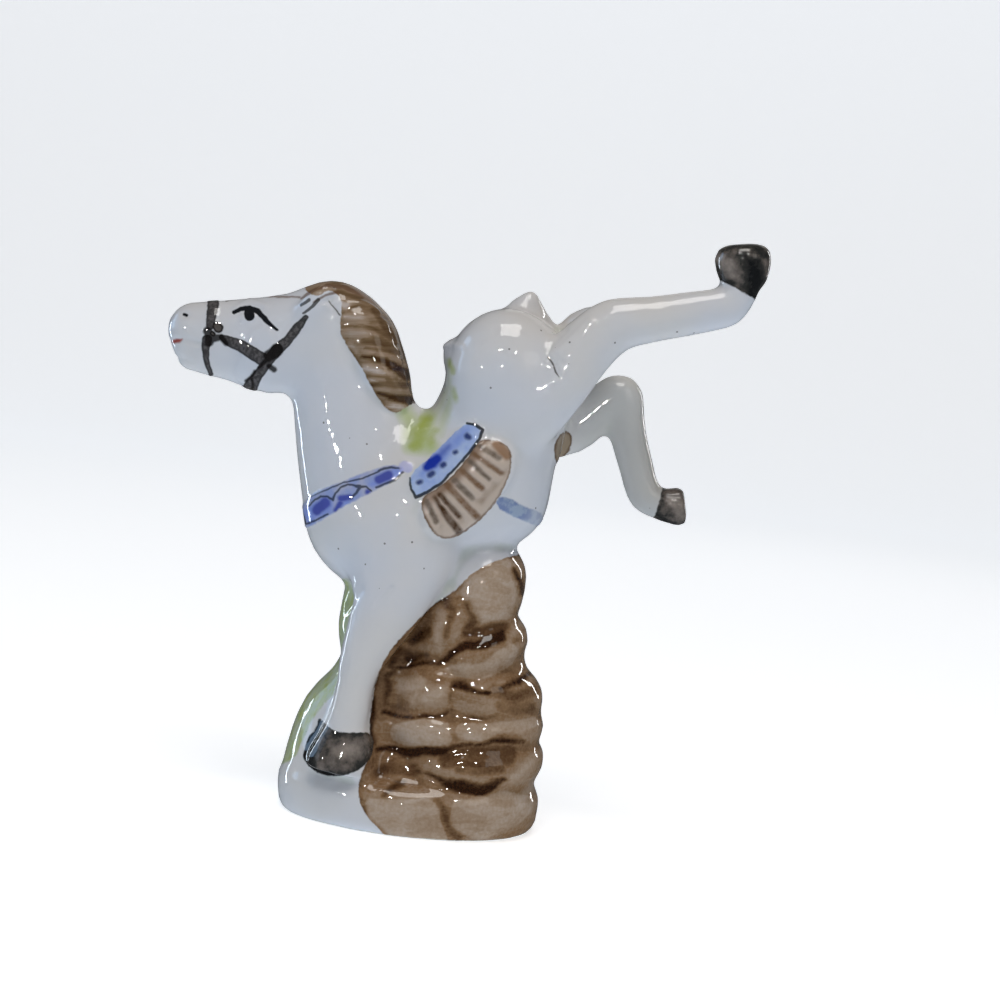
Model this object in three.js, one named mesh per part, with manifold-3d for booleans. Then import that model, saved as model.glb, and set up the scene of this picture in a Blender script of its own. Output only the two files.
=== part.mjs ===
// A porcelain horse that kicks up its hind legs over a rock, cast in one piece.
// Millimetres, +Z up, muzzle towards -X, near side towards -Y.
// The origin lies on the flat underside, 2 mm from the middle of the base towards the rump.
import * as THREE from "three";
import { mergeVertices } from "three/addons/utils/BufferGeometryUtils.js";
import Module from "manifold-3d";

const wasm = await Module();
wasm.setup();

const NEAR = -1; // the side towards -Y
const FAR = 1;

// Driving dimensions of the base.
const BASE = { length: 54.8, depth: 37.6, height: 10.2, edge: 4, x: -2.1 };
const BURIED = 1.2; // how far the forms go on below the underside before they are cut off there

// How softly one form runs into the next.
const MELT = { body: 4, limb: 2.6, hip: 1.6, ground: 1.8, trim: 0.7 };

// The net that the surface is caught in, and how many triangles it keeps.
const NET = { cell: 1.75, triangles: 8700, firstSlack: 0.01, slackGrowth: 1.35 };
const CLOTH_TRIANGLES = 1000;
const BOUNDS = { low: [-66, -24, -6], high: [66, 24, 132] };

const FIRED_PORCELAIN = new THREE.MeshStandardMaterial({
  color: 0xd9d8d4,
  roughness: 0.15,
  metalness: 0,
});

// Forms. A form gives the distance from its surface, negative inside. Past its limit it may
// answer with any distance beyond the limit, which spares the work for forms that are far away.

function mix(a, b, share) {
  return a + (b - a) * share;
}

// Soft union of two distances: the forms run into each other over the given width.
function melt(a, b, width) {
  const share = Math.max(width - Math.abs(a - b), 0) / width;
  return Math.min(a, b) - (share * share * width) / 4;
}

function meltAll(forms, width) {
  return (p, limit) => {
    let d = limit + width;
    for (const form of forms) d = melt(d, form(p, d + width), width);
    return d;
  };
}

// How far a point lies from a box, which is never more than its distance from a form inside it.
function clearOf(box, p) {
  return Math.hypot(
    Math.max(box.min.x - p.x, 0, p.x - box.max.x),
    Math.max(box.min.y - p.y, 0, p.y - box.max.y),
    Math.max(box.min.z - p.z, 0, p.z - box.max.z),
  );
}

// A joint of a limb: its place, its radius seen from the side, and its half width across.
function joint(x, y, z, radius, halfWidth = radius) {
  return { place: new THREE.Vector3(x, y, z), radius, halfWidth };
}

// A limb runs smoothly through its joints; every section is an ellipse.
function limb(...joints) {
  const stepsPerJoint = 4;
  const count = (joints.length - 1) * stepsPerJoint;
  const route = new THREE.CatmullRomCurve3(joints.map((j) => j.place));
  const sizes = new THREE.CatmullRomCurve3(
    joints.map((j) => new THREE.Vector3(j.radius, j.halfWidth, 0)),
  );
  const rings = [];
  const box = new THREE.Box3();
  for (let i = 0; i <= count; i++) {
    const centre = route.getPoint(i / count);
    const { x: radius, y: halfWidth } = sizes.getPoint(i / count);
    rings.push({ centre, radius, halfWidth });
    const reach = new THREE.Vector3(radius, halfWidth, radius);
    box.expandByPoint(centre.clone().add(reach)).expandByPoint(centre.clone().sub(reach));
  }
  return (p, limit) => {
    const clearance = clearOf(box, p);
    if (clearance > limit) return clearance;
    let nearest = Infinity;
    for (let i = 0; i < count; i++) {
      const a = rings[i];
      const b = rings[i + 1];
      const dx = b.centre.x - a.centre.x;
      const dy = b.centre.y - a.centre.y;
      const dz = b.centre.z - a.centre.z;
      const px = p.x - a.centre.x;
      const py = p.y - a.centre.y;
      const pz = p.z - a.centre.z;
      const along = (px * dx + py * dy + pz * dz) / (dx * dx + dy * dy + dz * dz);
      const share = Math.min(Math.max(along, 0), 1);
      const radius = mix(a.radius, b.radius, share);
      const squeeze = radius / mix(a.halfWidth, b.halfWidth, share);
      const away = Math.hypot(px - share * dx, (py - share * dy) * squeeze, pz - share * dz);
      nearest = Math.min(nearest, away - radius);
    }
    return nearest;
  };
}

// An egg shape: centre, half sizes, and how many degrees its long side leans up in the side view.
function egg(x, y, z, halfX, halfY, halfZ, lean = 0) {
  const levelSlope = 1e-9; // a smaller slope is found only at the centre
  const cos = Math.cos(THREE.MathUtils.degToRad(lean));
  const sin = Math.sin(THREE.MathUtils.degToRad(lean));
  const longest = Math.max(halfX, halfY, halfZ);
  return (p, limit) => {
    const clearance = Math.hypot(p.x - x, p.y - y, p.z - z) - longest;
    if (clearance > limit) return clearance;
    const u = (p.x - x) * cos + (p.z - z) * sin;
    const w = (p.z - z) * cos - (p.x - x) * sin;
    const v = p.y - y;
    const reach = Math.hypot(u / halfX, v / halfY, w / halfZ);
    const slope = Math.hypot(u / halfX ** 2, v / halfY ** 2, w / halfZ ** 2);
    return slope < levelSlope ? -longest : (reach * (reach - 1)) / slope;
  };
}

// A hoof: a cup that widens from the coronet to the sole, and ends flat at the sole.
// The rim is how softly its wall turns into the sole.
function hoof(coronet, sole, coronetRadius, soleRadius, narrowing, rim) {
  const from = new THREE.Vector3(...coronet);
  const axis = new THREE.Vector3(...sole).sub(from);
  const length = axis.length();
  const longest = length + Math.max(coronetRadius, soleRadius);
  axis.normalize();
  const q = new THREE.Vector3();
  return (p, limit) => {
    q.copy(p).sub(from);
    if (q.length() - longest > limit) return q.length() - longest;
    const along = q.dot(axis);
    q.addScaledVector(axis, -along);
    const radius = mix(coronetRadius, soleRadius, along / length);
    const wall = Math.hypot(q.x, q.y / narrowing, q.z) - radius;
    const ends = Math.abs(along - length / 2) - length / 2;
    return -melt(-wall, -ends, rim);
  };
}

// Head, neck and trunk

function head() {
  const cheek = (side) => egg(-39.8, side * 2.6, 95.6, 7.4, 4.4, 8.4);
  return meltAll(
    [
      limb(
        joint(-30, 0, 102.2, 7.8, 6.2),
        joint(-37.5, 0, 99.5, 7.9, 6.6),
        joint(-47, 0, 98, 7.3, 5.6),
        joint(-57, 0, 97.7, 5.8, 4.9),
      ),
      limb(
        joint(-56.7, 0, 92.8, 3.8, 3.6),
        joint(-48.5, 0, 92.9, 5, 4.3),
        joint(-42, 0, 94, 7.8, 5.6),
      ),
      cheek(NEAR),
      cheek(FAR),
    ],
    MELT.limb,
  );
}

// A broad ear that leans back against the mane.
function ear(side) {
  return limb(
    joint(-33, side * 6, 103.6, 3.4, 1.6),
    joint(-31.6, side * 6.9, 106.8, 2.6, 1.4),
    joint(-29.2, side * 5.8, 110.4, 0.8, 0.8),
  );
}

function neck() {
  return limb(
    joint(-28, 0, 101, 9.3, 7.2),
    joint(-23.6, 0, 88, 12, 8.6),
    joint(-19.4, 0, 75.5, 13.8, 11),
    joint(-15.2, 0, 64.5, 15.4, 13.6),
  );
}

function trunk() {
  return meltAll(
    [
      limb(
        joint(-12, 0, 63, 15.4, 14),
        joint(-4.5, 0, 69.5, 16, 14.4),
        joint(4.6, 0, 76.5, 15, 14.2),
        joint(8.6, 0, 88, 13.6, 13.2),
        joint(8.5, 0, 97, 12.4, 12),
      ),
      egg(8.6, 0, 70, 11.4, 11, 10.6),
    ],
    MELT.body,
  );
}

function shoulder(side) {
  return egg(-9.5, side * 6.6, 60, 11.6, 8.6, 13.4, 12);
}

function haunch(side) {
  return egg(8.2, side * 6.4, 95.8, 11.8, 9.4, 13.5);
}

function buttocks() {
  return egg(13.4, 0, 96.6, 8.2, 9, 9.4);
}

// The mane falls from the crest of the neck to both sides.
function mane() {
  return limb(
    joint(-34, 0, 106.4, 2.4, 4),
    joint(-27.6, 0, 106.2, 4.6, 6.8),
    joint(-21.4, 0, 100.6, 6.2, 9),
    joint(-17.4, 0, 93, 5.8, 10),
    joint(-13, 0, 87.6, 2.6, 7.4),
  );
}

// The back edge of the saddle stands up in front of the rump.
function saddleEdge() {
  return egg(-2.2, 0, 97.2, 2.6, 7.6, 5, 20);
}

// The root of the tail stands up from the rump; the hair swings round behind the near hock.
function tail() {
  return meltAll(
    [
      limb(joint(9.6, 0, 107.4, 4, 3.7), joint(12, 0, 113.1, 1.1, 1.3)),
      limb(
        joint(12, 1.4, 108.4, 3.4, 3),
        joint(15.4, 4.6, 104, 4, 3.6),
        joint(19.6, 5.4, 101.6, 4.8, 3.8),
        joint(23.8, 3.2, 106, 5.2, 3.6),
        joint(27.4, -0.6, 108.4, 3.8, 3.2),
        joint(30.6, -4.4, 109.2, 2, 2.2),
      ),
    ],
    MELT.limb,
  );
}

// Legs and hooves

// The near hind leg is thrown straight back, with the hoof folded up.
function nearHindLeg() {
  return limb(
    joint(9.5, -7, 84, 6.3, 5.5),
    joint(13.6, -9, 88.2, 7.2, 6),
    joint(19.1, -9.4, 96.1, 6.9, 5.6),
    joint(23.8, -9.2, 102.9, 6.2, 5.2),
    joint(29, -9, 108.2, 5.6, 4.8),
    joint(36.4, -9, 110.4, 4.7, 4.5),
    joint(46.2, -9, 113.1, 4.4, 4.3),
    joint(51.6, -9, 114.9, 4.1, 4),
    joint(53.9, -9, 117.8, 3.4, 3.6),
  );
}

// The far hind leg is bent, and its cannon hangs down.
function farHindLeg() {
  return limb(
    joint(14, 8, 84.6, 6.4, 5.6),
    joint(23.2, 9, 85.4, 5.2, 5),
    joint(28.6, 9, 90, 4.8, 4.6),
    joint(33, 9, 93.6, 4.7, 4.4),
    joint(35.1, 9, 87.4, 4, 4.1),
    joint(38.1, 9, 79.5, 3.7, 3.9),
    joint(41, 9, 73.2, 3.6, 3.8),
    joint(44, 9, 71.9, 3.4, 3.6),
  );
}

function foreleg(side) {
  return limb(
    joint(-8.5, side * 9, 56, 10.3, 6.5),
    joint(-10.4, side * 11, 46.5, 7.5, 5.6),
    joint(-12.6, side * 12, 39.8, 5.7, 4.8),
    joint(-14.4, side * 12.4, 34.6, 4.6, 4.4),
    joint(-15.2, side * 12.6, 29, 3.8, 4),
    joint(-15.8, side * 12.8, 22.6, 4.1, 4),
    joint(-16.4, side * 12.8, 18.5, 4.2, 3.8),
  );
}

function hooves() {
  const foreHoof = (side) =>
    hoof([-15.6, side * 13, 20.4], [-16.8, side * 13.4, 11.2], 5, 7.5, 0.74, 1.3);
  return meltAll(
    [
      hoof([54.8, -9, 117.2], [53.1, -9, 127.7], 4.2, 6.8, 0.82, 5),
      hoof([43.7, 9, 70.8], [49.6, 9, 72], 2.9, 4.8, 0.9, 1.8),
      foreHoof(NEAR),
      foreHoof(FAR),
    ],
    MELT.trim,
  );
}

// Ground: the base, the grassy mound between the forelegs, and the rock under the belly

// A low oval block with rounded edges.
function base() {
  const { length, depth, height, edge, x } = BASE;
  const middle = (height - BURIED) / 2;
  return (p) => {
    const reach = Math.hypot((p.x - x) / (length / 2), p.y / (depth / 2));
    const wall = (reach - 1) * (depth / 2) + edge;
    const top = Math.abs(p.z - middle) - (height - middle) + edge;
    const outside = Math.hypot(Math.max(wall, 0), Math.max(top, 0));
    return outside + Math.min(Math.max(wall, top), 0) - edge;
  };
}

function mound() {
  return limb(
    joint(-9.8, 0, 46, 10.6, 9),
    joint(-10, 0, 40.5, 10.9, 9.4),
    joint(-10.2, 0, 33.5, 9.1, 9.6),
    joint(-12.2, 0, 25, 10.2, 10.6),
    joint(-14.4, 0, 17, 13.3, 12.4),
    joint(-14.8, 0, 7, 15, 14.6),
  );
}

// The rock is a core with rounded folds laid over it. Each line is one fold, seen from the side.
const ROCK_FOLDS = [
  { x: 10.6, z: 51.2, halfX: 9, halfZ: 8, lean: 55, height: 1.9 },
  { x: -1, z: 43.4, halfX: 9.6, halfZ: 6.8, lean: 40, height: 2.2 },
  { x: 13, z: 39.6, halfX: 11, halfZ: 4.3, lean: 24, height: 2.3 },
  { x: -2.8, z: 29.9, halfX: 9, halfZ: 5.4, lean: 2, height: 2.2 },
  { x: 16.4, z: 29.6, halfX: 12.4, halfZ: 5.2, lean: -3, height: 2.4 },
  { x: -1.6, z: 21.4, halfX: 9.6, halfZ: 3.8, lean: -2, height: 2 },
  { x: 17, z: 22.4, halfX: 12.4, halfZ: 3.6, lean: 4, height: 2 },
  { x: 16, z: 15, halfX: 15, halfZ: 4.8, lean: 5, height: 2.4 },
  { x: -7, z: 11, halfX: 6.6, halfZ: 4.8, lean: -15, height: 2.2 },
  { x: 7.4, z: 4.6, halfX: 23, halfZ: 6.4, lean: 0, height: 2.4 },
];

// How far the folds stand out of the core: flat on top, steep at the edge.
function foldHeight(p) {
  return ROCK_FOLDS.reduce((most, f) => {
    const lean = THREE.MathUtils.degToRad(f.lean);
    const u = (p.x - f.x) * Math.cos(lean) + (p.z - f.z) * Math.sin(lean);
    const w = (p.z - f.z) * Math.cos(lean) - (p.x - f.x) * Math.sin(lean);
    const reach = (u / f.halfX) ** 2 + (w / f.halfZ) ** 2;
    return Math.max(most, f.height * (1 - reach * Math.sqrt(reach)));
  }, 0);
}

function rock() {
  const core = limb(
    joint(7.4, 0, 53.5, 9.4, 9.4),
    joint(7, 0, 43.5, 9.6, 10.4),
    joint(6.8, 0, 33, 12.8, 12),
    joint(6.6, 0, 22, 16.6, 13.6),
    joint(6.4, 0, 10, 17.6, 15.4),
  );
  const tallest = Math.max(...ROCK_FOLDS.map((f) => f.height));
  return (p, limit) => {
    const d = core(p, limit + tallest);
    return d - tallest > limit ? d - tallest : d - foldHeight(p);
  };
}

// The whole figure as one form

function figure() {
  const barrel = meltAll(
    [trunk(), buttocks(), haunch(NEAR), haunch(FAR), shoulder(NEAR), shoulder(FAR)],
    MELT.limb,
  );
  const groups = [
    [meltAll([neck(), head()], MELT.body), MELT.body],
    [meltAll([foreleg(NEAR), foreleg(FAR)], MELT.trim), MELT.limb],
    [meltAll([nearHindLeg(), farHindLeg()], MELT.trim), MELT.hip],
    [meltAll([mane(), saddleEdge(), tail(), ear(NEAR), ear(FAR)], MELT.trim), MELT.trim],
    [meltAll([base(), mound()], MELT.ground), MELT.ground],
    [rock(), MELT.ground],
    [hooves(), MELT.trim],
  ];
  const anyDistance = Infinity; // the first form is always worked out in full
  return (p) => {
    let d = barrel(p, anyDistance);
    for (const [form, width] of groups) d = melt(d, form(p, d + width), width);
    return Math.max(d, -p.z - BURIED);
  };
}

// Surface of a form

// Moves a point onto the surface of a form.
function ontoSurface(form, p) {
  const rounds = 6;
  const probe = 0.02; // how far beside the point the form is asked, to find its slope
  const gentlest = 0.2; // a gentler slope than this would throw the point too far
  const longestStep = 1;
  const closeEnough = 0.01;
  const q = new THREE.Vector3();
  for (let i = 0; i < rounds; i++) {
    const value = form(p);
    if (Math.abs(value) < closeEnough) break;
    const slope = new THREE.Vector3(
      form(q.set(p.x + probe, p.y, p.z)) - value,
      form(q.set(p.x, p.y + probe, p.z)) - value,
      form(q.set(p.x, p.y, p.z + probe)) - value,
    ).divideScalar(probe);
    const step = value / Math.max(slope.length(), gentlest);
    p.addScaledVector(slope.normalize(), -THREE.MathUtils.clamp(step, -longestStep, longestStep));
  }
  return p;
}

// Catches the surface in a net, with one knot for each sheet of the surface in each cell.
// A cell's corners and the offsets of its edges are counted along the axes x, y, z, x, y.
function catchInNet(form, { low, high }, cell) {
  const size = low.map((l, i) => Math.ceil((high[i] - l) / cell) + 1);
  const index = (i, j, k) => (k * size[1] + j) * size[0] + i;
  const corner = (at) => new THREE.Vector3(...at.map((n, axis) => low[axis] + n * cell));
  const value = new Float64Array(size[0] * size[1] * size[2]);
  for (let k = 0; k < size[2]; k++)
    for (let j = 0; j < size[1]; j++)
      for (let i = 0; i < size[0]; i++) value[index(i, j, k)] = form(corner([i, j, k]));

  const axes = [0, 1, 2];
  const bits = [0, 1];
  const edgesOfCell = 12;
  const isInside = (at) => value[index(...at)] < 0;
  const step = (at, axis, by) => at.map((n, m) => (m === axis % 3 ? n + by : n));
  const edgeId = (axis, a, b) => (axis % 3) * 4 + a + 2 * b;
  const edgeStart = (at, axis, a, b) => step(step(at, axis + 1, a), axis + 2, b);
  const crosses = (start, axis) => isInside(start) !== isInside(step(start, axis, 1));

  // Which sheet of the surface crosses each edge of a cell. Round each face of the cell, the
  // edges that one sheet crosses are tied together; corners inside are kept apart.
  const sheetsOf = (at) => {
    const sheet = Array.from({ length: edgesOfCell }, (_, id) => id);
    const tie = ([one, other]) => {
      const from = sheet[one];
      const to = sheet[other];
      sheet.forEach((s, id) => (sheet[id] = s === from ? to : s));
    };
    for (const f of axes)
      for (const side of bits) {
        const along = (n) => edgeId(f + 1, n, side);
        const across = (n) => edgeId(f + 2, side, n);
        const crossed = bits.flatMap((n) => [
          ...(crosses(edgeStart(at, f + 1, n, side), f + 1) ? [along(n)] : []),
          ...(crosses(edgeStart(at, f + 2, side, n), f + 2) ? [across(n)] : []),
        ]);
        if (crossed.length === 2) tie(crossed);
        if (crossed.length === 4)
          for (const m of bits)
            for (const n of bits)
              if (isInside(step(step(step(at, f, side), f + 1, m), f + 2, n)))
                tie([along(n), across(m)]);
      }
    return sheet;
  };

  const knots = [];
  const knotsOf = new Map();
  // The knot of each sheet lies in the middle of the places where it crosses the cell's edges.
  const knotsIn = (at) => {
    const key = index(...at);
    if (knotsOf.has(key)) return knotsOf.get(key);
    const sheets = sheetsOf(at);
    const middles = new Map();
    for (const axis of axes)
      for (const a of bits)
        for (const b of bits) {
          const from = edgeStart(at, axis, a, b);
          if (!crosses(from, axis)) continue;
          const to = step(from, axis, 1);
          const start = value[index(...from)];
          const end = value[index(...to)];
          const sheet = sheets[edgeId(axis, a, b)];
          if (!middles.has(sheet)) middles.set(sheet, { sum: new THREE.Vector3(), count: 0 });
          const middle = middles.get(sheet);
          middle.sum.add(corner(from).lerp(corner(to), start / (start - end)));
          middle.count++;
        }
    const knotOfSheet = new Map();
    for (const [sheet, { sum, count }] of middles) {
      knots.push(sum.divideScalar(count));
      knotOfSheet.set(sheet, knots.length - 1);
    }
    const found = sheets.map((sheet) => knotOfSheet.get(sheet));
    knotsOf.set(key, found);
    return found;
  };
  const triangles = [];
  for (let k = 1; k < size[2] - 1; k++)
    for (let j = 1; j < size[1] - 1; j++)
      for (let i = 1; i < size[0] - 1; i++)
        for (const axis of axes) {
          const at = [i, j, k];
          if (!crosses(at, axis)) continue;
          const knot = (a, b) => knotsIn(edgeStart(at, axis, -a, -b))[edgeId(axis, a, b)];
          const ring = [knot(0, 0), knot(1, 0), knot(1, 1), knot(0, 1)];
          if (!isInside(at)) ring.reverse();
          const [a, b, c, d] = ring;
          triangles.push([a, b, c], [a, c, d]);
        }
  knots.forEach((p) => ontoSurface(form, p));
  return { knots, triangles };
}

function faceOf(a, b, c) {
  return new THREE.Vector3().subVectors(b, a).cross(new THREE.Vector3().subVectors(c, a));
}

// Draws pairs of knots together where the surface is flattest, until few enough triangles are
// left. Each knot remembers the planes it stands for, as the sum of their squared distances.
function thinOut(form, { knots, triangles }, wanted) {
  const planeTerms = 10; // a plane has four numbers, which make ten different products
  const areaTerm = planeTerms; // the area of the planes is kept behind the products
  const leastTurn = 0.75; // cosine of the farthest that a triangle may turn
  const leastShape = 0.09; // twice the area by the sum of the squared edges; 0.29 is an even triangle
  const around = knots.map(() => new Set());
  triangles.forEach((t, i) => t.forEach((k) => around[k].add(i)));
  const planes = knots.map(() => new Float64Array(planeTerms + 1));
  for (const [a, b, c] of triangles) {
    const face = faceOf(knots[a], knots[b], knots[c]);
    const area = face.length();
    if (area === 0) continue;
    face.divideScalar(area);
    const plane = [face.x, face.y, face.z, -face.dot(knots[a])];
    for (const k of [a, b, c]) {
      let n = 0;
      for (let i = 0; i < 4; i++)
        for (let j = i; j < 4; j++) planes[k][n++] += area * plane[i] * plane[j];
      planes[k][areaTerm] += area;
    }
  }
  // Mean squared distance of a point from the planes of both knots.
  const offPlanes = (a, b, p) => {
    const at = [p.x, p.y, p.z, 1];
    let sum = 0;
    let n = 0;
    for (let i = 0; i < 4; i++)
      for (let j = i; j < 4; j++, n++)
        sum += (planes[a][n] + planes[b][n]) * at[i] * at[j] * (i === j ? 1 : 2);
    return sum / (planes[a][areaTerm] + planes[b][areaTerm]);
  };
  const neighbours = (k) => {
    const found = new Set();
    for (const t of around[k]) for (const n of triangles[t]) if (n !== k) found.add(n);
    return found;
  };
  // Whether the triangles round a moved knot keep their side and stay well shaped.
  const staysSound = (k, other, p) => {
    for (const t of around[k]) {
      const corners = triangles[t];
      if (corners.includes(other)) continue;
      const before = corners.map((n) => knots[n]);
      const after = corners.map((n) => (n === k ? p : knots[n]));
      const was = faceOf(...before);
      const is = faceOf(...after);
      if (was.dot(is) < leastTurn * was.length() * is.length()) return false;
      const edges =
        after[0].distanceToSquared(after[1]) +
        after[1].distanceToSquared(after[2]) +
        after[2].distanceToSquared(after[0]);
      if (is.length() < leastShape * edges) return false;
    }
    return true;
  };

  let left = triangles.length;
  for (let slack = NET.firstSlack; left > wanted; slack *= NET.slackGrowth)
    for (let a = 0; a < knots.length && left > wanted; a++)
      for (const b of neighbours(a)) {
        if (b < a) continue;
        const middle = knots[a].clone().lerp(knots[b], 0.5);
        if (offPlanes(a, b, middle) > slack * slack) continue;
        const others = neighbours(b);
        const shared = [...neighbours(a)].filter((n) => others.has(n));
        if (shared.length !== 2) continue;
        ontoSurface(form, middle);
        if (!staysSound(a, b, middle) || !staysSound(b, a, middle)) continue;
        for (const t of around[b]) {
          if (around[a].has(t)) {
            for (const n of triangles[t]) around[n].delete(t);
            triangles[t] = [];
            left--;
          } else {
            triangles[t] = triangles[t].map((n) => (n === b ? a : n));
            around[a].add(t);
          }
        }
        around[b].clear();
        knots[a].copy(middle);
        planes[b].forEach((value, n) => (planes[a][n] += value));
        break;
      }
  return { knots, triangles: triangles.filter((t) => t.length) };
}

function surfaceOf(form, bounds, wanted) {
  const net = thinOut(form, catchInNet(form, bounds, NET.cell), wanted);
  return new wasm.Manifold(
    new wasm.Mesh({
      numProp: 3,
      vertProperties: new Float32Array(net.knots.flatMap((p) => p.toArray())),
      triVerts: new Uint32Array(net.triangles.flat()),
    }),
  );
}

function solidOf(geometry) {
  geometry.deleteAttribute("normal");
  geometry.deleteAttribute("uv");
  const merged = mergeVertices(geometry);
  return new wasm.Manifold(
    new wasm.Mesh({
      numProp: 3,
      vertProperties: merged.attributes.position.array,
      triVerts: new Uint32Array(merged.index.array),
    }),
  );
}

function geometryOf(solid) {
  const mesh = solid.getMesh();
  const geometry = new THREE.BufferGeometry();
  geometry.setAttribute("position", new THREE.BufferAttribute(mesh.vertProperties, 3));
  geometry.setIndex(new THREE.BufferAttribute(mesh.triVerts, 1));
  geometry.computeVertexNormals();
  return geometry;
}

// Saddle cloth: a band along the flank and a fringe below it, standing proud on both flanks.
// Each is a blunt oval in the side view; the lean turns its length up towards the tail.

const BAND = { x: -1.9, z: 77.8, halfLength: 9, halfWidth: 2.5, bluntness: 3.4, lean: 52, proud: 0.8 };
const FRINGE = { x: 3.6, z: 72.2, halfLength: 11.7, halfWidth: 5.7, bluntness: 2.6, lean: 52, proud: 1.1 };
const CLOTH_BOUNDS = { low: [-14, -22, 54], high: [17, 22, 92] };

function bluntOval({ x, z, halfLength, halfWidth, bluntness, lean }) {
  const points = 40;
  const middle = new THREE.Vector2(x, z);
  const blunted = (value) => Math.sign(value) * Math.abs(value) ** (2 / bluntness);
  const outline = [];
  for (let i = 0; i < points; i++) {
    const angle = (i / points) * 2 * Math.PI;
    const along = halfLength * blunted(Math.cos(angle));
    const across = halfWidth * blunted(Math.sin(angle));
    const point = new THREE.Vector2(x + along, z + across);
    outline.push(point.rotateAround(middle, THREE.MathUtils.degToRad(lean)));
  }
  return new THREE.Shape(outline);
}

// The part of the figure inside the outline, grown until it stands proud of the flanks.
function cloth(form, piece) {
  const { low, high } = CLOTH_BOUNDS;
  const depth = high[1] - low[1];
  const prism = new THREE.ExtrudeGeometry(bluntOval(piece), { depth, steps: 1, bevelEnabled: false });
  prism.rotateX(Math.PI / 2).translate(0, high[1], 0);
  const margin = 4;
  const block = (p) =>
    Math.max(
      low[0] + margin - p.x, p.x - high[0] + margin,
      low[2] + margin - p.z, p.z - high[2] + margin,
    );
  const grown = (p) => Math.max(form(p) - piece.proud, block(p));
  return surfaceOf(grown, CLOTH_BOUNDS, CLOTH_TRIANGLES).intersect(solidOf(prism));
}

// The figure wears its cloth, and ends at its flat underside.
function horse() {
  const form = figure();
  const span = 200;
  const ground = solidOf(new THREE.BoxGeometry(span, span, span).translate(0, 0, -span / 2));
  const whole = surfaceOf(form, BOUNDS, NET.triangles)
    .add(cloth(form, BAND))
    .add(cloth(form, FRINGE))
    .subtract(ground);
  const mesh = new THREE.Mesh(geometryOf(whole), FIRED_PORCELAIN);
  mesh.name = "kicking_horse";
  return mesh;
}

const figurine = new THREE.Group();
figurine.add(horse());

export default figurine;
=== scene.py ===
# %% [markdown]
# # A kicking horse in painted and glazed porcelain
#
# The real figurine is one hollow casting. Liquid clay is poured into a plaster mould, small reliefs are
# touched up by hand, the piece is fired, painted with a brush, dipped in clear glaze and fired again.
# This lesson follows the same order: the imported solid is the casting, rolls of clay are laid on it and
# melted in, a modelling tool presses the small folds, a brush lays the colours, and one clear coat closes it.

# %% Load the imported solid
import math

import bpy
import numpy as np
from mathutils import Matrix, Vector


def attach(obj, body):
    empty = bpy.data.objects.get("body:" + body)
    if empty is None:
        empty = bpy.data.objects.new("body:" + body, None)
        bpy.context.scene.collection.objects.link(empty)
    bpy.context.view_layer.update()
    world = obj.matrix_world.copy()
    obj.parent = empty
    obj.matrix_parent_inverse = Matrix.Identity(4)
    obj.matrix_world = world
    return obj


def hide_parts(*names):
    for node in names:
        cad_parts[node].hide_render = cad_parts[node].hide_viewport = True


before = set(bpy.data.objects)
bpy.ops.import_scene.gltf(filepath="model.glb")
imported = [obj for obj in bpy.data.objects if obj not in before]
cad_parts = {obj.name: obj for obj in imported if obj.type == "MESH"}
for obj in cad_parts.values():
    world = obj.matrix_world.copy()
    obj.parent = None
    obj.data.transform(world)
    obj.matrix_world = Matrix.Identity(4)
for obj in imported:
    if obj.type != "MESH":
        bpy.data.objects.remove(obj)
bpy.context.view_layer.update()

MM = 0.001
bpy.ops.object.select_all(action="DESELECT")

# %% [markdown]
# ## The camera comes first
#
# The figurine was held a little askew in front of the camera, so the picture shows it rolled clockwise.
# The part itself stands upright. Instead of turning the part, the camera is rolled by the same angle.
# Its three directions are worked out as vectors, because they are needed again to find the place on the
# porcelain that lies under a pixel.

# %% Camera
ROLL = math.radians(6.5)
TILT = math.radians(5)
DISTANCE = 420 * MM
AIM = Vector((10.1, 0, 69.5)) * MM
LENS = 72
SENSOR = 36

sight = Vector((0, math.cos(TILT), -math.sin(TILT)))
level_right = Vector((1, 0, 0))
level_up = level_right.cross(sight)
right = level_right * math.cos(ROLL) + level_up * math.sin(ROLL)
up = level_up * math.cos(ROLL) - level_right * math.sin(ROLL)
eye = AIM - sight * DISTANCE

bpy.ops.object.camera_add()
camera = bpy.context.object
camera.name = "photo_camera"
camera.matrix_world = Matrix.Translation(eye) @ Matrix((right, up, -sight)).transposed().to_4x4()
camera.data.lens = LENS
camera.data.sensor_width = SENSOR
bpy.context.scene.camera = camera
print("camera at", [round(v / MM, 1) for v in eye], "mm")

# %% [markdown]
# ## Painting by pixels
#
# A china painter copies a pattern card on to the white ware. Here the card is the photograph's own frame
# of 1000 by 1000 pixels: every stroke below is given by the pixels of its ends. Both flanks are painted
# alike, so a point on the far side is mirrored to the near side before its pixel is taken.

# %% Pixels and places
FRAME_SIDE = 1000
FOCAL = FRAME_SIDE * LENS / SENSOR


def pixels_of(spots):
    """Where points, given in metres, fall in the photograph's frame once mirrored to the near side."""
    near = spots * [1, 0, 1] - np.abs(spots) * [0, 1, 0]
    away = near - np.array(eye)
    depth = away @ np.array(sight)
    across = away @ np.array(right) / depth
    above = away @ np.array(up) / depth
    return np.stack([FRAME_SIDE / 2 + FOCAL * across, FRAME_SIDE / 2 - FOCAL * above], 1)


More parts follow.
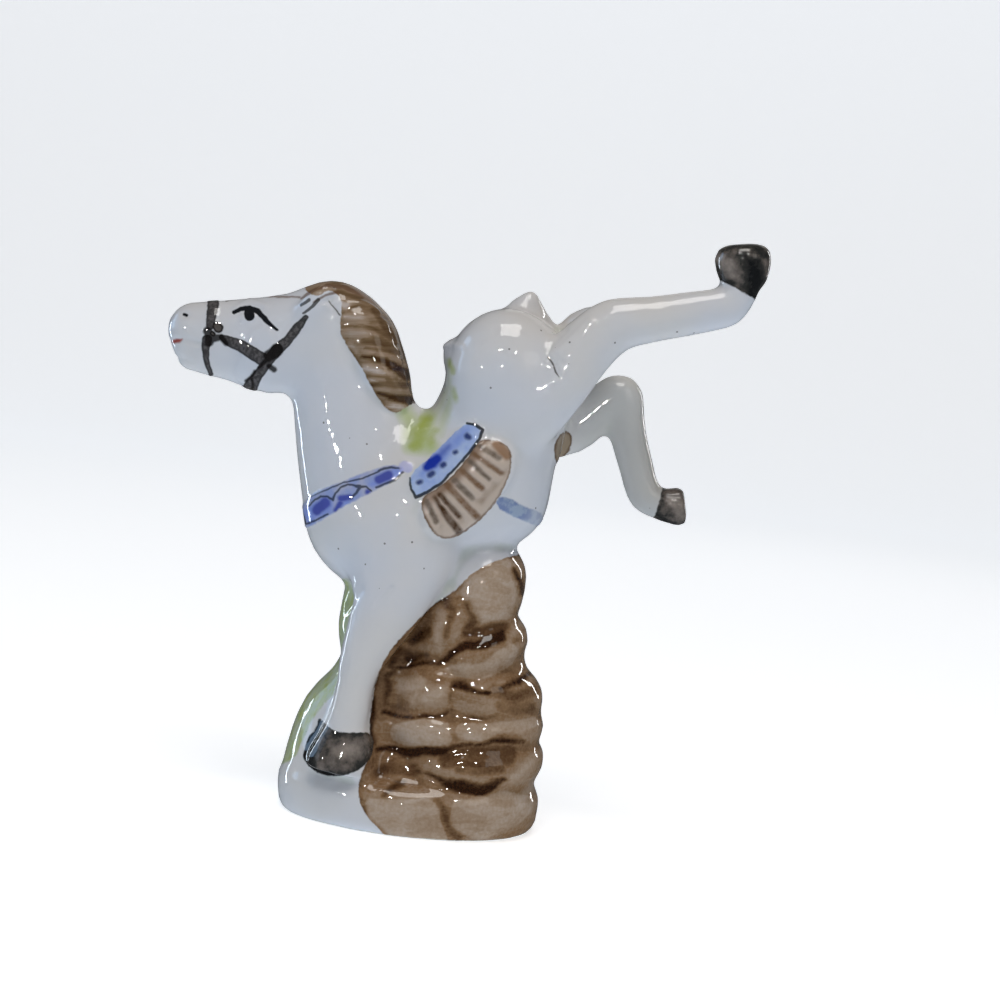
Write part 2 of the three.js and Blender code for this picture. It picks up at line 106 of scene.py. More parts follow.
def touch(piece, pixel):
    """The place and the direction of the surface under a pixel, or the nearest ones where the ray misses."""
    ray = sight + right * ((pixel[0] - FRAME_SIDE / 2) / FOCAL) + up * ((FRAME_SIDE / 2 - pixel[1]) / FOCAL)
    hit, place, normal, _ = piece.ray_cast(eye, ray.normalized())
    if not hit:
        middle_plane = eye + ray * (-eye.y / ray.y)
        _, place, normal, _ = piece.closest_point_on_mesh(middle_plane)
    return place, normal


print("one pixel is about", round(DISTANCE / FOCAL / MM, 2), "mm on the figurine")

# %% [markdown]
# ## The casting
#
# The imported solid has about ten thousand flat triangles, which is enough for its shape but would show as
# facets under a glossy glaze. Subdivision would keep the facets as dents, so the copy is rebuilt on a fine
# even grid with the Remesh modifier in voxel mode, and then relaxed. The relaxing moves each point towards
# the middle of its neighbours and then a little further back, which takes out the facets and keeps the
# thickness of the legs.

# %% Helpers for modelling
GRAIN = 0.6 * MM


def only(piece):
    """Makes one object the only selected and the active one."""
    bpy.ops.object.select_all(action="DESELECT")
    piece.select_set(True)
    bpy.context.view_layer.objects.active = piece


def finish_with(piece, kind, **settings):
    """Adds a modifier with its settings and applies it."""
    only(piece)
    modifier = piece.modifiers.new(kind.lower(), kind)
    for name, value in settings.items():
        setattr(modifier, name, value)
    bpy.ops.object.modifier_apply(modifier=modifier.name)


def spots_of(piece):
    """All the points of a mesh as an n by 3 array."""
    spots = np.empty(len(piece.data.vertices) * 3)
    piece.data.vertices.foreach_get("co", spots)
    return spots.reshape(-1, 3)


def put_spots(piece, spots):
    """Moves the points of a mesh to the given places."""
    piece.data.vertices.foreach_set("co", spots.ravel())
    piece.data.update()


def normals_of(piece):
    """The outward direction at each point of a mesh."""
    normals = np.empty(len(piece.data.vertices) * 3)
    piece.data.vertices.foreach_get("normal", normals)
    return normals.reshape(-1, 3)


def neighbour_means(piece):
    """A function that gives, for values held at the points, the mean over each point's neighbours."""
    ends = np.empty(len(piece.data.edges) * 2, np.int32)
    piece.data.edges.foreach_get("vertices", ends)
    first, second = ends.reshape(-1, 2).T
    size = len(piece.data.vertices)
    count = np.bincount(first, minlength=size) + np.bincount(second, minlength=size)

    def mean(values):
        columns = values.reshape(size, -1).T
        sums = [np.bincount(first, c[second], size) + np.bincount(second, c[first], size) for c in columns]
        return (np.array(sums) / count).T.reshape(values.shape)

    return mean


INWARD = 0.5
OUTWARD = -0.53


def relax(piece, rounds, share=1.0):
    """Takes out facets and steps without thinning the form; share may differ from point to point."""
    mean = neighbour_means(piece)
    spots = spots_of(piece)
    for _ in range(rounds):
        for step in (INWARD, OUTWARD):
            spots += step * share * (mean(spots) - spots)
    put_spots(piece, spots)


# %% The casting's smooth skin
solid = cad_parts["kicking_horse"]
horse = bpy.data.objects.new("painted_horse", solid.data.copy())
bpy.context.collection.objects.link(horse)
horse.data.materials.clear()
only(horse)
bpy.ops.mesh.customdata_custom_splitnormals_clear()
bpy.ops.object.mode_set(mode="EDIT")
bpy.ops.mesh.select_all(action="SELECT")
bpy.ops.mesh.remove_doubles(threshold=0.01 * MM)
bpy.ops.object.mode_set(mode="OBJECT")
print("merged copy:", len(horse.data.vertices), "points")
finish_with(horse, "REMESH", mode="VOXEL", voxel_size=GRAIN)
print("remeshed:", len(horse.data.vertices), "points")

# %% [markdown]
# ## Outlines and strokes as distances
#
# Every painted or pressed form needs the same question answered: how far inside it is this point? For a
# closed outline it is the distance to the nearest side, and for a brush stroke it is the brush's half
# width less the distance to the path. A signed distance is better than a yes or no, because the edge
# stays sharp between the points of the mesh, and because an outline is only a range of distances.


# %% Distances
def rounded(outline, cuts=2):
    """A closed outline with its corners cut off twice, as a brush would round them."""
    corners = np.array(outline, float)
    for _ in range(cuts):
        following = np.roll(corners, -1, 0)
        early = corners * 0.75 + following * 0.25
        late = corners * 0.25 + following * 0.75
        corners = np.stack([early, late], 1).reshape(-1, 2)
    return corners


def inside_outline(outline, pixels):
    """How many pixels inside a closed outline each point lies; negative outside."""
    corners = rounded(outline)
    nearest = np.full(len(pixels), np.inf)
    crossed = np.zeros(len(pixels), bool)
    for start, end in zip(corners, np.roll(corners, -1, 0)):
        way = end - start
        share = np.clip((pixels - start) @ way / (way @ way), 0, 1)
        nearest = np.minimum(nearest, np.linalg.norm(pixels - start - share[:, None] * way, axis=1))
        spans = (start[1] > pixels[:, 1]) != (end[1] > pixels[:, 1])
        slope = way[0] / way[1] if way[1] else 0
        crossed ^= spans & (pixels[:, 0] < start[0] + (pixels[:, 1] - start[1]) * slope)
    return np.where(crossed, nearest, -nearest)


def inside_stroke(stroke, pixels):
    """How many pixels inside a brush stroke each point lies; a stroke is a list of (x, y, half width)."""
    best = np.full(len(pixels), -np.inf)
    for (x0, y0, wide0), (x1, y1, wide1) in zip(stroke[:-1], stroke[1:]):
        start = np.array([x0, y0])
        way = np.array([x1, y1]) - start
        share = np.clip((pixels - start) @ way / (way @ way), 0, 1)
        off = np.linalg.norm(pixels - start - share[:, None] * way, axis=1)
        best = np.maximum(best, wide0 + (wide1 - wide0) * share - off)
    return best


def ease(values, low, high):
    """Rises smoothly from 0 at low to 1 at high."""
    share = np.clip((values - low) / (high - low), 0, 1)
    return share * share * (3 - 2 * share)


def washed(strokes, softness, pixels):
    """How strongly a set of soft strokes covers each point, from 0 to 1; each stroke has its own strength."""
    cover = np.zeros(len(pixels))
    for strength, stroke in strokes:
        cover = np.maximum(cover, strength * ease(inside_stroke(stroke, pixels), -softness / 2, softness))
    return cover


# %% [markdown]
# ## Saddle cloth
#
# The cloth is two raised plates on each flank, a blue band and a fan of tassels. The solid already carries
# both plates. Relaxing the whole skin evenly would melt their edges, so their outlines are drawn first and
# the skin inside them is only relaxed a little.

# %% Relax the skin around the cloth
BAND = [(410, 478), (411, 489), (416, 498), (427, 493), (441, 484), (456, 468), (470, 452), (479, 440)]
BAND += [(483, 430), (475, 424), (466, 423), (455, 432), (441, 446), (426, 461), (414, 471)]
FRINGE = [(478, 441), (488, 439), (500, 441), (509, 447), (512, 458), (510, 474), (503, 491), (493, 506)]
FRINGE += [(482, 519), (468, 530), (455, 538), (442, 539), (432, 532), (425, 520), (421, 506), (422, 497)]
FRINGE += [(431, 492), (446, 482), (460, 467), (471, 453)]
CLOTH_MARGIN = 8
STRONG_ROUNDS = 22
LIGHT_ROUNDS = 3

pixels = pixels_of(spots_of(horse))
cloth = np.maximum(inside_outline(BAND, pixels), inside_outline(FRINGE, pixels))
free = 1 - ease(cloth, -CLOTH_MARGIN, 0)
relax(horse, STRONG_ROUNDS, free[:, None])
relax(horse, LIGHT_ROUNDS)
print("relaxed", int(free.sum()), "points fully")

# %% [markdown]
# ## Rolls of clay for the mane and the tassels
#
# The locks of the mane and the tassels of the fringe are small raised rolls. They could be carved into
# the skin, but a roll of clay that is laid on and melted in gives the soft, uneven relief of real ware.
# Each roll is a curve whose points are dropped on the skin, with a round section that tapers, made into a
# mesh, mirrored to the other flank and joined to the horse. One more voxel remesh then fuses them all.

# %% A roll laid on the skin
ROLL_POINTS = 5


def along(path, count):
    """The given number of points, evenly spaced along a path of pixels."""
    corners = np.array(path, float)
    lengths = np.concatenate([[0], np.cumsum(np.linalg.norm(np.diff(corners, axis=0), axis=1))])
    wanted = np.linspace(0, lengths[-1], count)
    return np.stack([np.interp(wanted, lengths, corners[:, k]) for k in (0, 1)], 1)


def clay_roll(name, path, radii, sunk):
    """A tapered roll of clay along a path of pixels on the near flank, and its mirror image on the far one.
    Radii are in mm, and sunk is the share of the radius that lies below the skin."""
    places = [touch(horse, pixel) for pixel in along(path, ROLL_POINTS)]
    bpy.ops.curve.primitive_nurbs_path_add(radius=1, location=(0, 0, 0))
    roll = bpy.context.object
    roll.name = name
    roll.data.bevel_depth = MM
    roll.data.bevel_resolution = 3
    roll.data.use_fill_caps = True
    for point, (place, normal), radius in zip(roll.data.splines[0].points, places, radii):
        centre = place - normal * (radius * MM * sunk)
        point.co = (*centre, 1)
        point.radius = radius
    only(roll)
    bpy.ops.object.convert(target="MESH")
    finish_with(roll, "MIRROR", use_axis=(False, True, False), use_mirror_merge=False)
    bpy.ops.object.mode_set(mode="EDIT")
    bpy.ops.mesh.select_all(action="SELECT")
    bpy.ops.mesh.normals_make_consistent(inside=False)
    bpy.ops.object.mode_set(mode="OBJECT")
    return roll


# %% Mane and tassels
LOCKS = [
    [(343, 305), (352, 301), (362, 302), (372, 307), (380, 314)],
    [(343, 317), (353, 313), (364, 313), (376, 318), (388, 325)],
    [(342, 331), (354, 332), (366, 331), (380, 336), (393, 342)],
    [(347, 343), (359, 343), (372, 343), (386, 346), (399, 352)],
    [(355, 354), (366, 353), (378, 353), (390, 357), (402, 363)],
    [(362, 367), (373, 367), (385, 369), (396, 374), (406, 379)],
    [(367, 377), (378, 378), (389, 380), (400, 384), (408, 389)],
    [(375, 389), (385, 388), (395, 390), (403, 393), (410, 395)],
    [(384, 404), (390, 406), (396, 407), (402, 408), (408, 406)],
]
LOCK_RADII = [0.7, 1.35, 1.6, 1.5, 0.9]
LOCK_SUNK = 0.5

TASSEL_GAPS = [
    [(479, 445), (500, 458)], [(475, 454), (502, 473)], [(470, 462), (491, 480)], [(463, 471), (483, 489)],
    [(455, 481), (473, 500)], [(447, 485), (477, 516)], [(441, 496), (464, 518)], [(434, 497), (460, 534)],
    [(427, 502), (437, 523)], [(424, 515), (431, 530)],
]
TASSEL_RADII = [1.1, 1.45, 1.6, 1.6, 1.3]
TASSEL_SUNK = 0.5
TASSEL_REACH = 1.12

rolls = [clay_roll("lock", path, LOCK_RADII, LOCK_SUNK) for path in LOCKS]
for before, after in zip(TASSEL_GAPS[:-1], TASSEL_GAPS[1:]):
    gaps = np.array([before, after], float)
    top, bottom = gaps.mean(0)
    rolls.append(clay_roll("tassel", [top, top + (bottom - top) * TASSEL_REACH], TASSEL_RADII, TASSEL_SUNK))
only(horse)
for roll in rolls:
    roll.select_set(True)
bpy.ops.object.join()
finish_with(horse, "REMESH", mode="VOXEL", voxel_size=GRAIN)
relax(horse, LIGHT_ROUNDS)
print(len(rolls), "rolls melted in:", len(horse.data.vertices), "points")

# %% [markdown]
# ## Pressing the small folds
#
# A sculptor would now raise the straps a hair, press the nostrils, the mouth and the creases where the
# legs meet the body. Each is a stroke again, with a height in millimetres. The points inside the stroke
# move along their own normals, and the stroke's distance gives the move soft edges. A sculpt brush would
# do the same, but a stroke with named ends can be corrected by a pixel.

# %% Straps, collar and girth on the card
NOSEBAND = [(214, 296, 6.2), (212, 312, 5.6), (210, 326, 4.6)]
CHIN_STRAP = [(207, 340, 5.6), (205.5, 350, 4.2), (206, 358, 3.4), (208, 366, 2.8), (211, 374, 2.6)]
CHEEK_STRAP = [(222, 337, 3.2), (230, 341.5, 5.4), (240, 345.5, 6.2), (250, 351.5, 6.8), (262, 359, 7)]
THROAT_STRAP = [(306, 317, 2.6), (299, 326, 4.6), (287, 341, 5.2), (276, 351, 6.4), (266, 364, 5.4)]
THROAT_STRAP += [(258, 375, 5.2), (250, 388, 7.4), (245, 399, 8)]
STRAP_BUTTON = [(217.5, 326, 6), (218.5, 328, 6)]
STRAP_RING = [(210, 333, 7), (211, 337, 7)]
COLLAR = [(296, 520), (299, 508), (312, 494), (324, 488), (342, 482), (358, 475), (374, 469), (391, 465)]
COLLAR += [(402, 466), (405, 471), (397, 478), (388, 484), (374, 491), (356, 500), (336, 511), (317, 523)]
COLLAR += [(303, 530)]
COLLAR_KNOT = [(405, 466, 5), (408, 467, 5)]
GIRTH = [(496, 499), (503, 496), (513, 500), (525, 507), (545, 514), (541, 528), (524, 521), (508, 514)]
GIRTH += [(498, 508)]
LEAF = [(565, 431), (573, 437), (573, 449), (567, 461), (558, 467), (554, 457), (554, 446), (558, 436)]
SADDLE_LIP = [(443, 347, 3), (452, 345, 4), (462, 347, 3)]

# %% Features of the head and creases of the body
EYEBALL = [(244, 318, 5), (252, 317, 5)]
EYELID = [(236, 308, 3), (250, 302, 4), (266, 306, 3)]
JAW = [(246, 372, 12), (262, 340, 14)]
THIGH_SWELL = [(590, 322, 5), (566, 352, 9)]
NOSTRIL_PIT = [(184, 314.5, 1.4), (187, 315.2, 1.4)]
MOUTH_LINE = [(174, 340, 1.3), (186, 339.5, 1.5), (203, 344, 0.8)]
CHIN_CREASE = [(178, 357, 2), (190, 361, 1)]
RUMP_CREASE = [(548, 357, 0.9), (554, 365, 1.1), (559, 377, 0.8)]
EAR_HOLLOW = [(321, 302, 2), (331, 298, 2.6)]
EAR_EDGE = [(330, 302, 0.9), (340, 315, 0.9)]
ARMPIT = [(360, 590, 3), (352, 600, 4), (346, 612, 2)]
ELBOW = [(391, 588, 1.5), (380, 600, 1), (376, 606, 0.6)]
THIGH_CREASE = [(566, 330, 1.6), (556, 340, 1.4), (548, 352, 1)]
WITHERS = [(412, 424, 3), (408, 436, 2)]

# %% Raise and press
RAISED = [
    (0.2, NOSEBAND), (0.2, CHIN_STRAP), (0.2, CHEEK_STRAP), (0.24, THROAT_STRAP), (0.2, STRAP_BUTTON),
    (0.3, STRAP_RING), (0.35, EYEBALL), (0.25, EYELID), (0.3, COLLAR_KNOT), (0.3, SADDLE_LIP), (0.3, JAW),
    (0.25, THIGH_SWELL),
]
PRESSED = [
    (0.5, NOSTRIL_PIT), (0.34, MOUTH_LINE), (0.3, CHIN_CREASE), (0.34, RUMP_CREASE), (0.4, EAR_HOLLOW),
    (0.3, EAR_EDGE), (0.35, ARMPIT), (0.3, ELBOW), (0.3, THIGH_CREASE), (0.25, WITHERS),
]
SOFT_EDGE = 3.5
FIRM_EDGE = 2.2
PLATE_RISES = [(0.28, COLLAR), (0.22, GIRTH), (0.2, LEAF)]

spots = spots_of(horse)
normals = normals_of(horse)
pixels = pixels_of(spots)
height = np.zeros(len(spots))
for rise, stroke in RAISED:
    height += rise * ease(inside_stroke(stroke, pixels), -FIRM_EDGE / 2, FIRM_EDGE)
for rise, outline in PLATE_RISES:
    height += rise * ease(inside_outline(outline, pixels), -FIRM_EDGE / 2, FIRM_EDGE)
for depth, stroke in PRESSED:
    height -= depth * ease(inside_stroke(stroke, pixels), -SOFT_EDGE, FIRM_EDGE)
put_spots(horse, spots + normals * height[:, None] * MM)
print("raised up to", round(height.max(), 2), "mm, pressed down to", round(-height.min(), 2), "mm")

# %% [markdown]
# ## The underside
#
# A slip casting stands on a wiped rim and has a hole through which the slip was poured out. Nobody sees
# it on the shelf, so it is made plainly: the skin inside the rim is pushed up a little, and more at the hole.

# %% Foot rim and pouring hole
FOOT_MIDDLE = np.array([-2.1, 0]) * MM
FOOT_HALF = np.array([26.6, 17.8]) * MM
FOOT_BLUNTNESS = 2.6
RIM_INNER = 0.8
RIM_OUTER = 0.86
RECESS = 1.2 * MM
HOLE_RADIUS = 5 * MM
HOLE_DEPTH = 5 * MM
SOLE_HEIGHT = 0.3 * MM

spots = spots_of(horse)
across_foot = np.abs(spots[:, :2] - FOOT_MIDDLE) / FOOT_HALF
reach = (across_foot ** FOOT_BLUNTNESS).sum(1) ** (1 / FOOT_BLUNTNESS)
from_middle = np.linalg.norm(spots[:, :2] - FOOT_MIDDLE, axis=1)
sole = spots[:, 2] < SOLE_HEIGHT
lift = RECESS * (1 - ease(reach, RIM_INNER, RIM_OUTER))
lift += HOLE_DEPTH * (1 - ease(from_middle, HOLE_RADIUS * 0.7, HOLE_RADIUS))
spots[:, 2] = np.maximum(spots[:, 2], 0) + np.where(sole, lift, 0)
put_spots(horse, spots)
only(horse)
bpy.ops.object.shade_smooth()
print("sole points:", int(sole.sum()))

# %% [markdown]
# ## Broad washes, held at the points
#
# The wide areas of colour are laid before the fine lines: brown on the rock, green on the mound and the
# saddle, brown on the mane, black on the hooves. They are stored on the mesh as attributes that the
# material reads. An image texture would need unwrapping and a file; attributes on a grid of 0.6
# millimetres are as fine as these brush marks, and they go with the mesh. The rock's marks are first
# shifted by slow ripples, so that no edge is ruler straight, and its folds and pale patches are kept as
# distances, so that the material can choose how softly they fade.

# %% Store a value at each point
spots = spots_of(horse)
pixels = pixels_of(spots)


def store(name, values):
    """Keeps one number for each point of the horse, for the material to read."""
    attribute = horse.data.attributes.new(name, "FLOAT", "POINT")
    attribute.data.foreach_set("value", np.ascontiguousarray(values, np.float32))


card = horse.data.attributes.new("card", "FLOAT_VECTOR", "POINT")
card_places = np.column_stack([pixels, np.abs(spots[:, 1]) / MM])
card.data.foreach_set("vector", card_places.astype(np.float32).ravel())

# %% Hollows, where glaze and paint gather
HOLLOW_ROUNDS = 4
HOLLOW_FULL = 0.045 * MM

mean = neighbour_means(horse)
hollow = ((mean(spots) - spots) * normals_of(horse)).sum(1)
for _ in range(HOLLOW_ROUNDS):
    hollow = mean(hollow)
hollow = np.clip(hollow / HOLLOW_FULL, -1, 1)
store("hollow", hollow)
print("hollow values:", np.percentile(hollow, [5, 50, 95]).round(2))

# %% Rock
ROCK = [(560, 545), (530, 552), (511, 556), (490, 563), (472, 573), (458, 588), (446, 597), (436, 602)]
ROCK += [(420, 618), (404, 634), (390, 650), (378, 672), (372, 700), (369, 730), (371, 752), (366, 764)]
ROCK += [(359, 780), (358, 798), (366, 817), (384, 834), (400, 850), (420, 900), (620, 900), (620, 545)]
ROCK_DARK_AND_LEG_SHADOW = [
    (0.6, [(470, 605, 4), (474, 618, 6), (468, 630, 5)]),
    (0.55, [(447, 601, 5), (455, 609, 4), (449, 622, 5), (448, 634, 4)]),
    (0.6, [(436, 600, 3), (447, 598, 3), (458, 600, 2)]), (0.6, [(413, 641, 5), (428, 633, 5)]),
    (0.5, [(392, 664, 4), (401, 650, 5), (412, 659, 5), (426, 656, 3)]),
    (0.65, [(466, 633, 4), (486, 630, 6), (505, 628, 5)]),
    (0.45, [(490, 690, 7), (515, 698, 9), (534, 690, 8)]), (0.4, [(500, 708, 6), (530, 708, 6)]),
    (0.6, [(397, 671, 3), (386, 679, 4), (388, 692, 5), (387, 704, 4)]),
    (0.5, [(452, 692, 2), (453, 716, 2)]), (0.5, [(470, 716, 2), (485, 717, 2), (496, 715, 2)]),
    # Painted shadow: this stroke darkens the rock along the right edge of the foreleg, where the leg shades
    # it.
    (0.8, [(373, 698, 3), (369, 722, 4), (371, 742, 4)]),
    (0.55, [(446, 760, 8), (474, 757, 12), (508, 755, 11)]), (0.5, [(462, 770, 7), (500, 769, 7)]),
    (0.55, [(378, 772, 6), (396, 768, 8), (414, 770, 8)]),
    (0.75, [(385, 796, 4), (392, 789, 4), (403, 782, 4)]),
    (0.45, [(437, 800, 4), (446, 815, 5), (451, 828, 5), (458, 838, 5)]),
    (0.4, [(361, 798, 2), (366, 818, 3), (385, 836, 3)]),
]
ROCK_PALE_AND_GLINTS = [
    (0.5, [(440, 612, 8), (437, 628, 6), (438, 648, 6)]), (0.7, [(455, 637, 1.6), (471, 631, 1.4)]),
    (0.5, [(402, 684, 7), (418, 684, 7)]), (0.4, [(425, 700, 7), (440, 690, 7)]),
    # Painted highlight: the stroke from (417, 693) down to (413, 706) is a glint of the glaze, laid as pale
    # paint.
    (0.6, [(417, 693, 3), (413, 706, 3)]), (0.5, [(512, 779, 4), (528, 765, 6), (542, 750, 5)]),
    (0.5, [(520, 801, 6), (534, 784, 5)]), (0.5, [(510, 642, 3), (521, 622, 3)]),
    (0.5, [(405, 800, 4), (430, 800, 3)]),
]

# %% Folds and pale patches of the rock
ROCK_FOLDS = [
    [(395, 668, 2), (411, 665, 2.6), (425, 663, 2.6), (441, 661, 3), (451, 655, 4.4), (466, 647, 6)],
    [(466, 647, 6), (484, 643, 8), (503, 637, 6)], [(516, 567, 3), (521, 580, 4), (523, 594, 3.4)],
    [(453, 685, 3.4), (464, 687, 5), (476, 690, 3.6), (488, 692, 3)],
    [(500, 688, 2.6), (520, 680, 4), (531, 674, 3.6)],
    [(381, 712, 2.6), (400, 715, 3), (416, 717, 3), (436, 715, 2.6), (447, 710, 2)],
    [(376, 750, 4), (395, 750, 5), (415, 753, 6), (433, 752, 6), (451, 748, 4), (470, 744, 3)],
    [(470, 744, 3), (490, 741, 3.6), (510, 740, 4), (523, 739, 3)],
    [(425, 775, 3), (440, 780, 4), (452, 784, 5), (466, 788, 7.4), (480, 789, 7.4), (493, 785, 5.6)],
    [(493, 785, 5.6), (504, 781, 3)],
]
ROCK_PATCHES = [
    [(480, 563), (500, 555), (513, 560), (514, 578), (519, 594), (517, 608), (508, 621), (490, 622),
     (476, 624), (471, 610), (463, 598), (458, 592), (468, 578)],
    [(429, 673), (445, 665), (462, 662), (478, 662), (492, 655), (505, 647), (513, 640), (521, 650),
     (515, 663), (504, 673), (489, 680), (470, 681), (450, 680)],
    [(390, 739), (394, 725), (405, 720), (425, 718), (449, 719), (452, 730), (455, 741), (440, 745),
     (424, 748), (407, 746)],
    [(457, 724), (480, 722), (500, 724), (520, 717), (536, 716), (541, 729), (520, 733), (500, 735),
     (478, 740), (458, 741)],
    [(362, 806), (368, 796), (384, 801), (402, 799), (426, 798), (437, 806), (443, 822), (450, 842),
     (428, 846), (400, 845), (380, 838), (367, 822)],
    [(454, 800), (472, 801), (490, 795), (505, 789), (520, 791), (535, 797), (530, 815), (515, 831),
     (490, 838), (466, 838), (453, 830), (449, 815)],
]
WANDER = 1.2
RIPPLES_ACROSS = (9, 6)
RIPPLES_DOWN = (5, 4)
DARK_SOFTNESS = 4
LIGHT_SOFTNESS = 5

across, down = pixels.T
sideways = np.sin(down / RIPPLES_DOWN[0]) + np.sin(across / RIPPLES_ACROSS[0] + 1)
upward = np.sin(across / RIPPLES_ACROSS[1]) + np.sin(down / RIPPLES_DOWN[1] + 2)
wandering = pixels + WANDER * np.stack([sideways, upward], 1)
store("rock", inside_outline(ROCK, pixels))
store("rock_dark_and_shadow", washed(ROCK_DARK_AND_LEG_SHADOW, DARK_SOFTNESS, wandering))
store("rock_pale_and_glint", washed(ROCK_PALE_AND_GLINTS, LIGHT_SOFTNESS, wandering))
store("rock_fold", np.max([inside_stroke(stroke, wandering) for stroke in ROCK_FOLDS], 0))
store("rock_patch", np.max([inside_outline(outline, wandering) for outline in ROCK_PATCHES], 0))
print("rock:", len(ROCK_FOLDS), "fold strokes,", len(ROCK_PATCHES), "pale patches")

# %% Mane
MANE = [(306, 292), (318, 297), (327, 290), (335, 292), (342, 300), (341, 312), (340, 331), (344, 341)]
MANE += [(351, 352), (359, 364), (363, 370), (369, 383), (374, 391), (380, 401), (386, 409), (396, 414)]
MANE += [(405, 408), (413, 403), (430, 400), (430, 340), (400, 280), (340, 262), (300, 276)]
MANE_DARK = [
    (0.5, [(306, 297, 2), (318, 289, 2), (335, 283, 2), (352, 288, 2.2), (372, 297, 2.4), (386, 308, 3)]),
    (0.5, [(314, 302, 1.2), (326, 294, 1.4), (341, 292, 2), (357, 298, 3), (373, 303, 3), (378, 312, 3)]),
    (0.45, [(348, 309, 1.6), (359, 305, 2.4), (371, 306, 2.4)]),
    (0.6, [(374, 309, 4), (383, 318, 6), (388, 328, 6), (398, 342, 5), (404, 356, 5)]),
    (0.55, [(345, 325.5, 0.8), (355, 326.5, 1.2), (361, 325, 1.4), (371, 327.5, 2), (380, 332, 3),
            (391, 337, 3.6)]),
    (0.5, [(363, 341, 3), (372, 340, 5), (382, 343, 5), (396, 348, 5)]),
    (0.55, [(366, 348.5, 2), (380, 349, 2), (398, 353, 3)]),
    (1.0, [(362, 357, 1.6), (373, 358, 3.4), (384, 361, 4), (396, 368, 5), (406, 375, 6)]),
    (0.45, [(367, 376, 2), (381, 377, 3), (396, 380, 3)]),
    (0.65, [(371, 384.5, 2.6), (386, 384, 3.6), (406, 385, 4)]),
    (1.0, [(377, 392.5, 1.6), (384, 394.5, 2.6), (394, 397.5, 4), (411, 401, 5.4)]),
    (0.35, [(349, 349, 2), (358, 360, 2)]),
]
MANE_PALE_AND_HIGHLIGHT = [
    # Painted highlight: the first, strongest stroke puts a white highlight on the top lock.
    (1.0, [(341, 303, 4), (346, 306, 4)]), (0.4, [(346, 318, 5), (358, 318, 6), (366, 322, 4)]),
    (0.4, [(344, 333, 4), (362, 334, 5), (371, 337, 3)]), (0.5, [(364, 351, 2), (374, 351.5, 1.8)]),
    (0.75, [(364, 368, 3.4), (374, 370, 3.6), (384, 373, 2.4)]), (0.8, [(370, 380, 1.8), (384, 380.5, 2)]),
    (0.8, [(379, 397, 2), (387, 399, 2.2)]), (0.85, [(388, 406, 3), (396, 407, 4), (403, 408, 3)]),
    (0.4, [(390, 374, 2), (400, 390, 2)]), (0.5, [(350, 345, 4), (356, 352, 3)]),
]
LOCK_DARK_SOFTNESS = 2
LOCK_LIGHT_SOFTNESS = 3
store("mane", inside_outline(MANE, pixels))
store("mane_dark", washed(MANE_DARK, LOCK_DARK_SOFTNESS, pixels))
store("mane_pale_and_highlight", washed(MANE_PALE_AND_HIGHLIGHT, LOCK_LIGHT_SOFTNESS, pixels))

# %% Greens
MOUND = [(349, 578), (356, 596), (352, 610), (351, 628), (345, 652), (336, 690), (322, 716), (313, 728)]
MOUND += [(304, 741), (296, 756), (286, 763), (262, 770), (262, 700), (320, 640), (330, 600), (338, 580)]
MOUND_REACH = 8.4
SADDLE_WASH = [
    (1.0, [(430, 416, 10), (423, 430, 14), (420, 443, 12)]), (1.0, [(410, 446, 9), (430, 446, 11)]),
    (0.6, [(436, 416, 7), (443, 400, 6), (449, 384, 4), (450, 368, 4)]),
    (0.8, [(448, 361, 3.4), (452, 371, 3.8)]), (1.0, [(452, 392, 3.6), (455, 400, 3.4)]),
    (0.6, [(438, 432, 9), (445, 415, 8), (450, 398, 6)]),
    (0.9, [(402, 408, 9), (412, 424, 11), (408, 440, 8)]),
]
SADDLE_CORE = [
    (0.9, [(426, 420, 7), (419, 433, 8), (416, 445, 8)]), (0.8, [(449, 361, 3), (453, 372, 3)]),
    (0.7, [(430, 440, 6), (436, 430, 4)]), (0.8, [(453, 388, 3), (455, 397, 3)]),
]
SADDLE_SOFTNESS = 11
CORE_SOFTNESS = 7
away_from_middle = np.abs(spots[:, 1]) / MM
mound_depth = (MOUND_REACH - away_from_middle) / (DISTANCE / FOCAL / MM)
store("mound", np.minimum(inside_outline(MOUND, pixels), mound_depth))
store("saddle", washed(SADDLE_WASH, SADDLE_SOFTNESS, pixels))
store("saddle_core", washed(SADDLE_CORE, CORE_SOFTNESS, pixels))

# %% The hanging leg, painted in shade
LEG_START, LEG_FULL = 20, 30
LEG_TOP_FULL, LEG_TOP = 98, 104
FAR_SIDE_FULL = 3
across_leg = ease(spots[:, 0] / MM, LEG_START, LEG_FULL) * ease(spots[:, 1] / MM, 0, FAR_SIDE_FULL)
store("hanging_leg_shade", across_leg * (1 - ease(spots[:, 2] / MM, LEG_TOP_FULL, LEG_TOP)))

# %% Hooves
FORE_HOOF = [(318, 716), (325, 723), (333, 730), (345, 732.5), (358, 732), (371, 732), (375, 744), (370, 761)]
FORE_HOOF += [(357, 772), (341, 777), (323, 776), (310, 769), (302, 757), (300, 746), (308, 736), (316, 729)]
FORE_HOOF_REACH = 8.8
FORE_HOOF_AXIS = ((-15.6, 13, 20.6), (-16.8, 13.4, 11.2))
THROWN_HOOF = ((53.3, -9, 118.2), (57.1, -9, 127.4), 10)
HANGING_HOOF = ((43.7, 9, 72.6), (49.6, 9, 71.6), 7.6)


def along_and_off(points, top, bottom):
    """How far down a hoof's axis each point lies, and how far off the axis, in millimetres."""
    axis = np.array(bottom) - np.array(top)
    axis /= np.linalg.norm(axis)
    down = (points - top) @ axis
    return down, np.linalg.norm(points - top - down[:, None] * axis, axis=1)


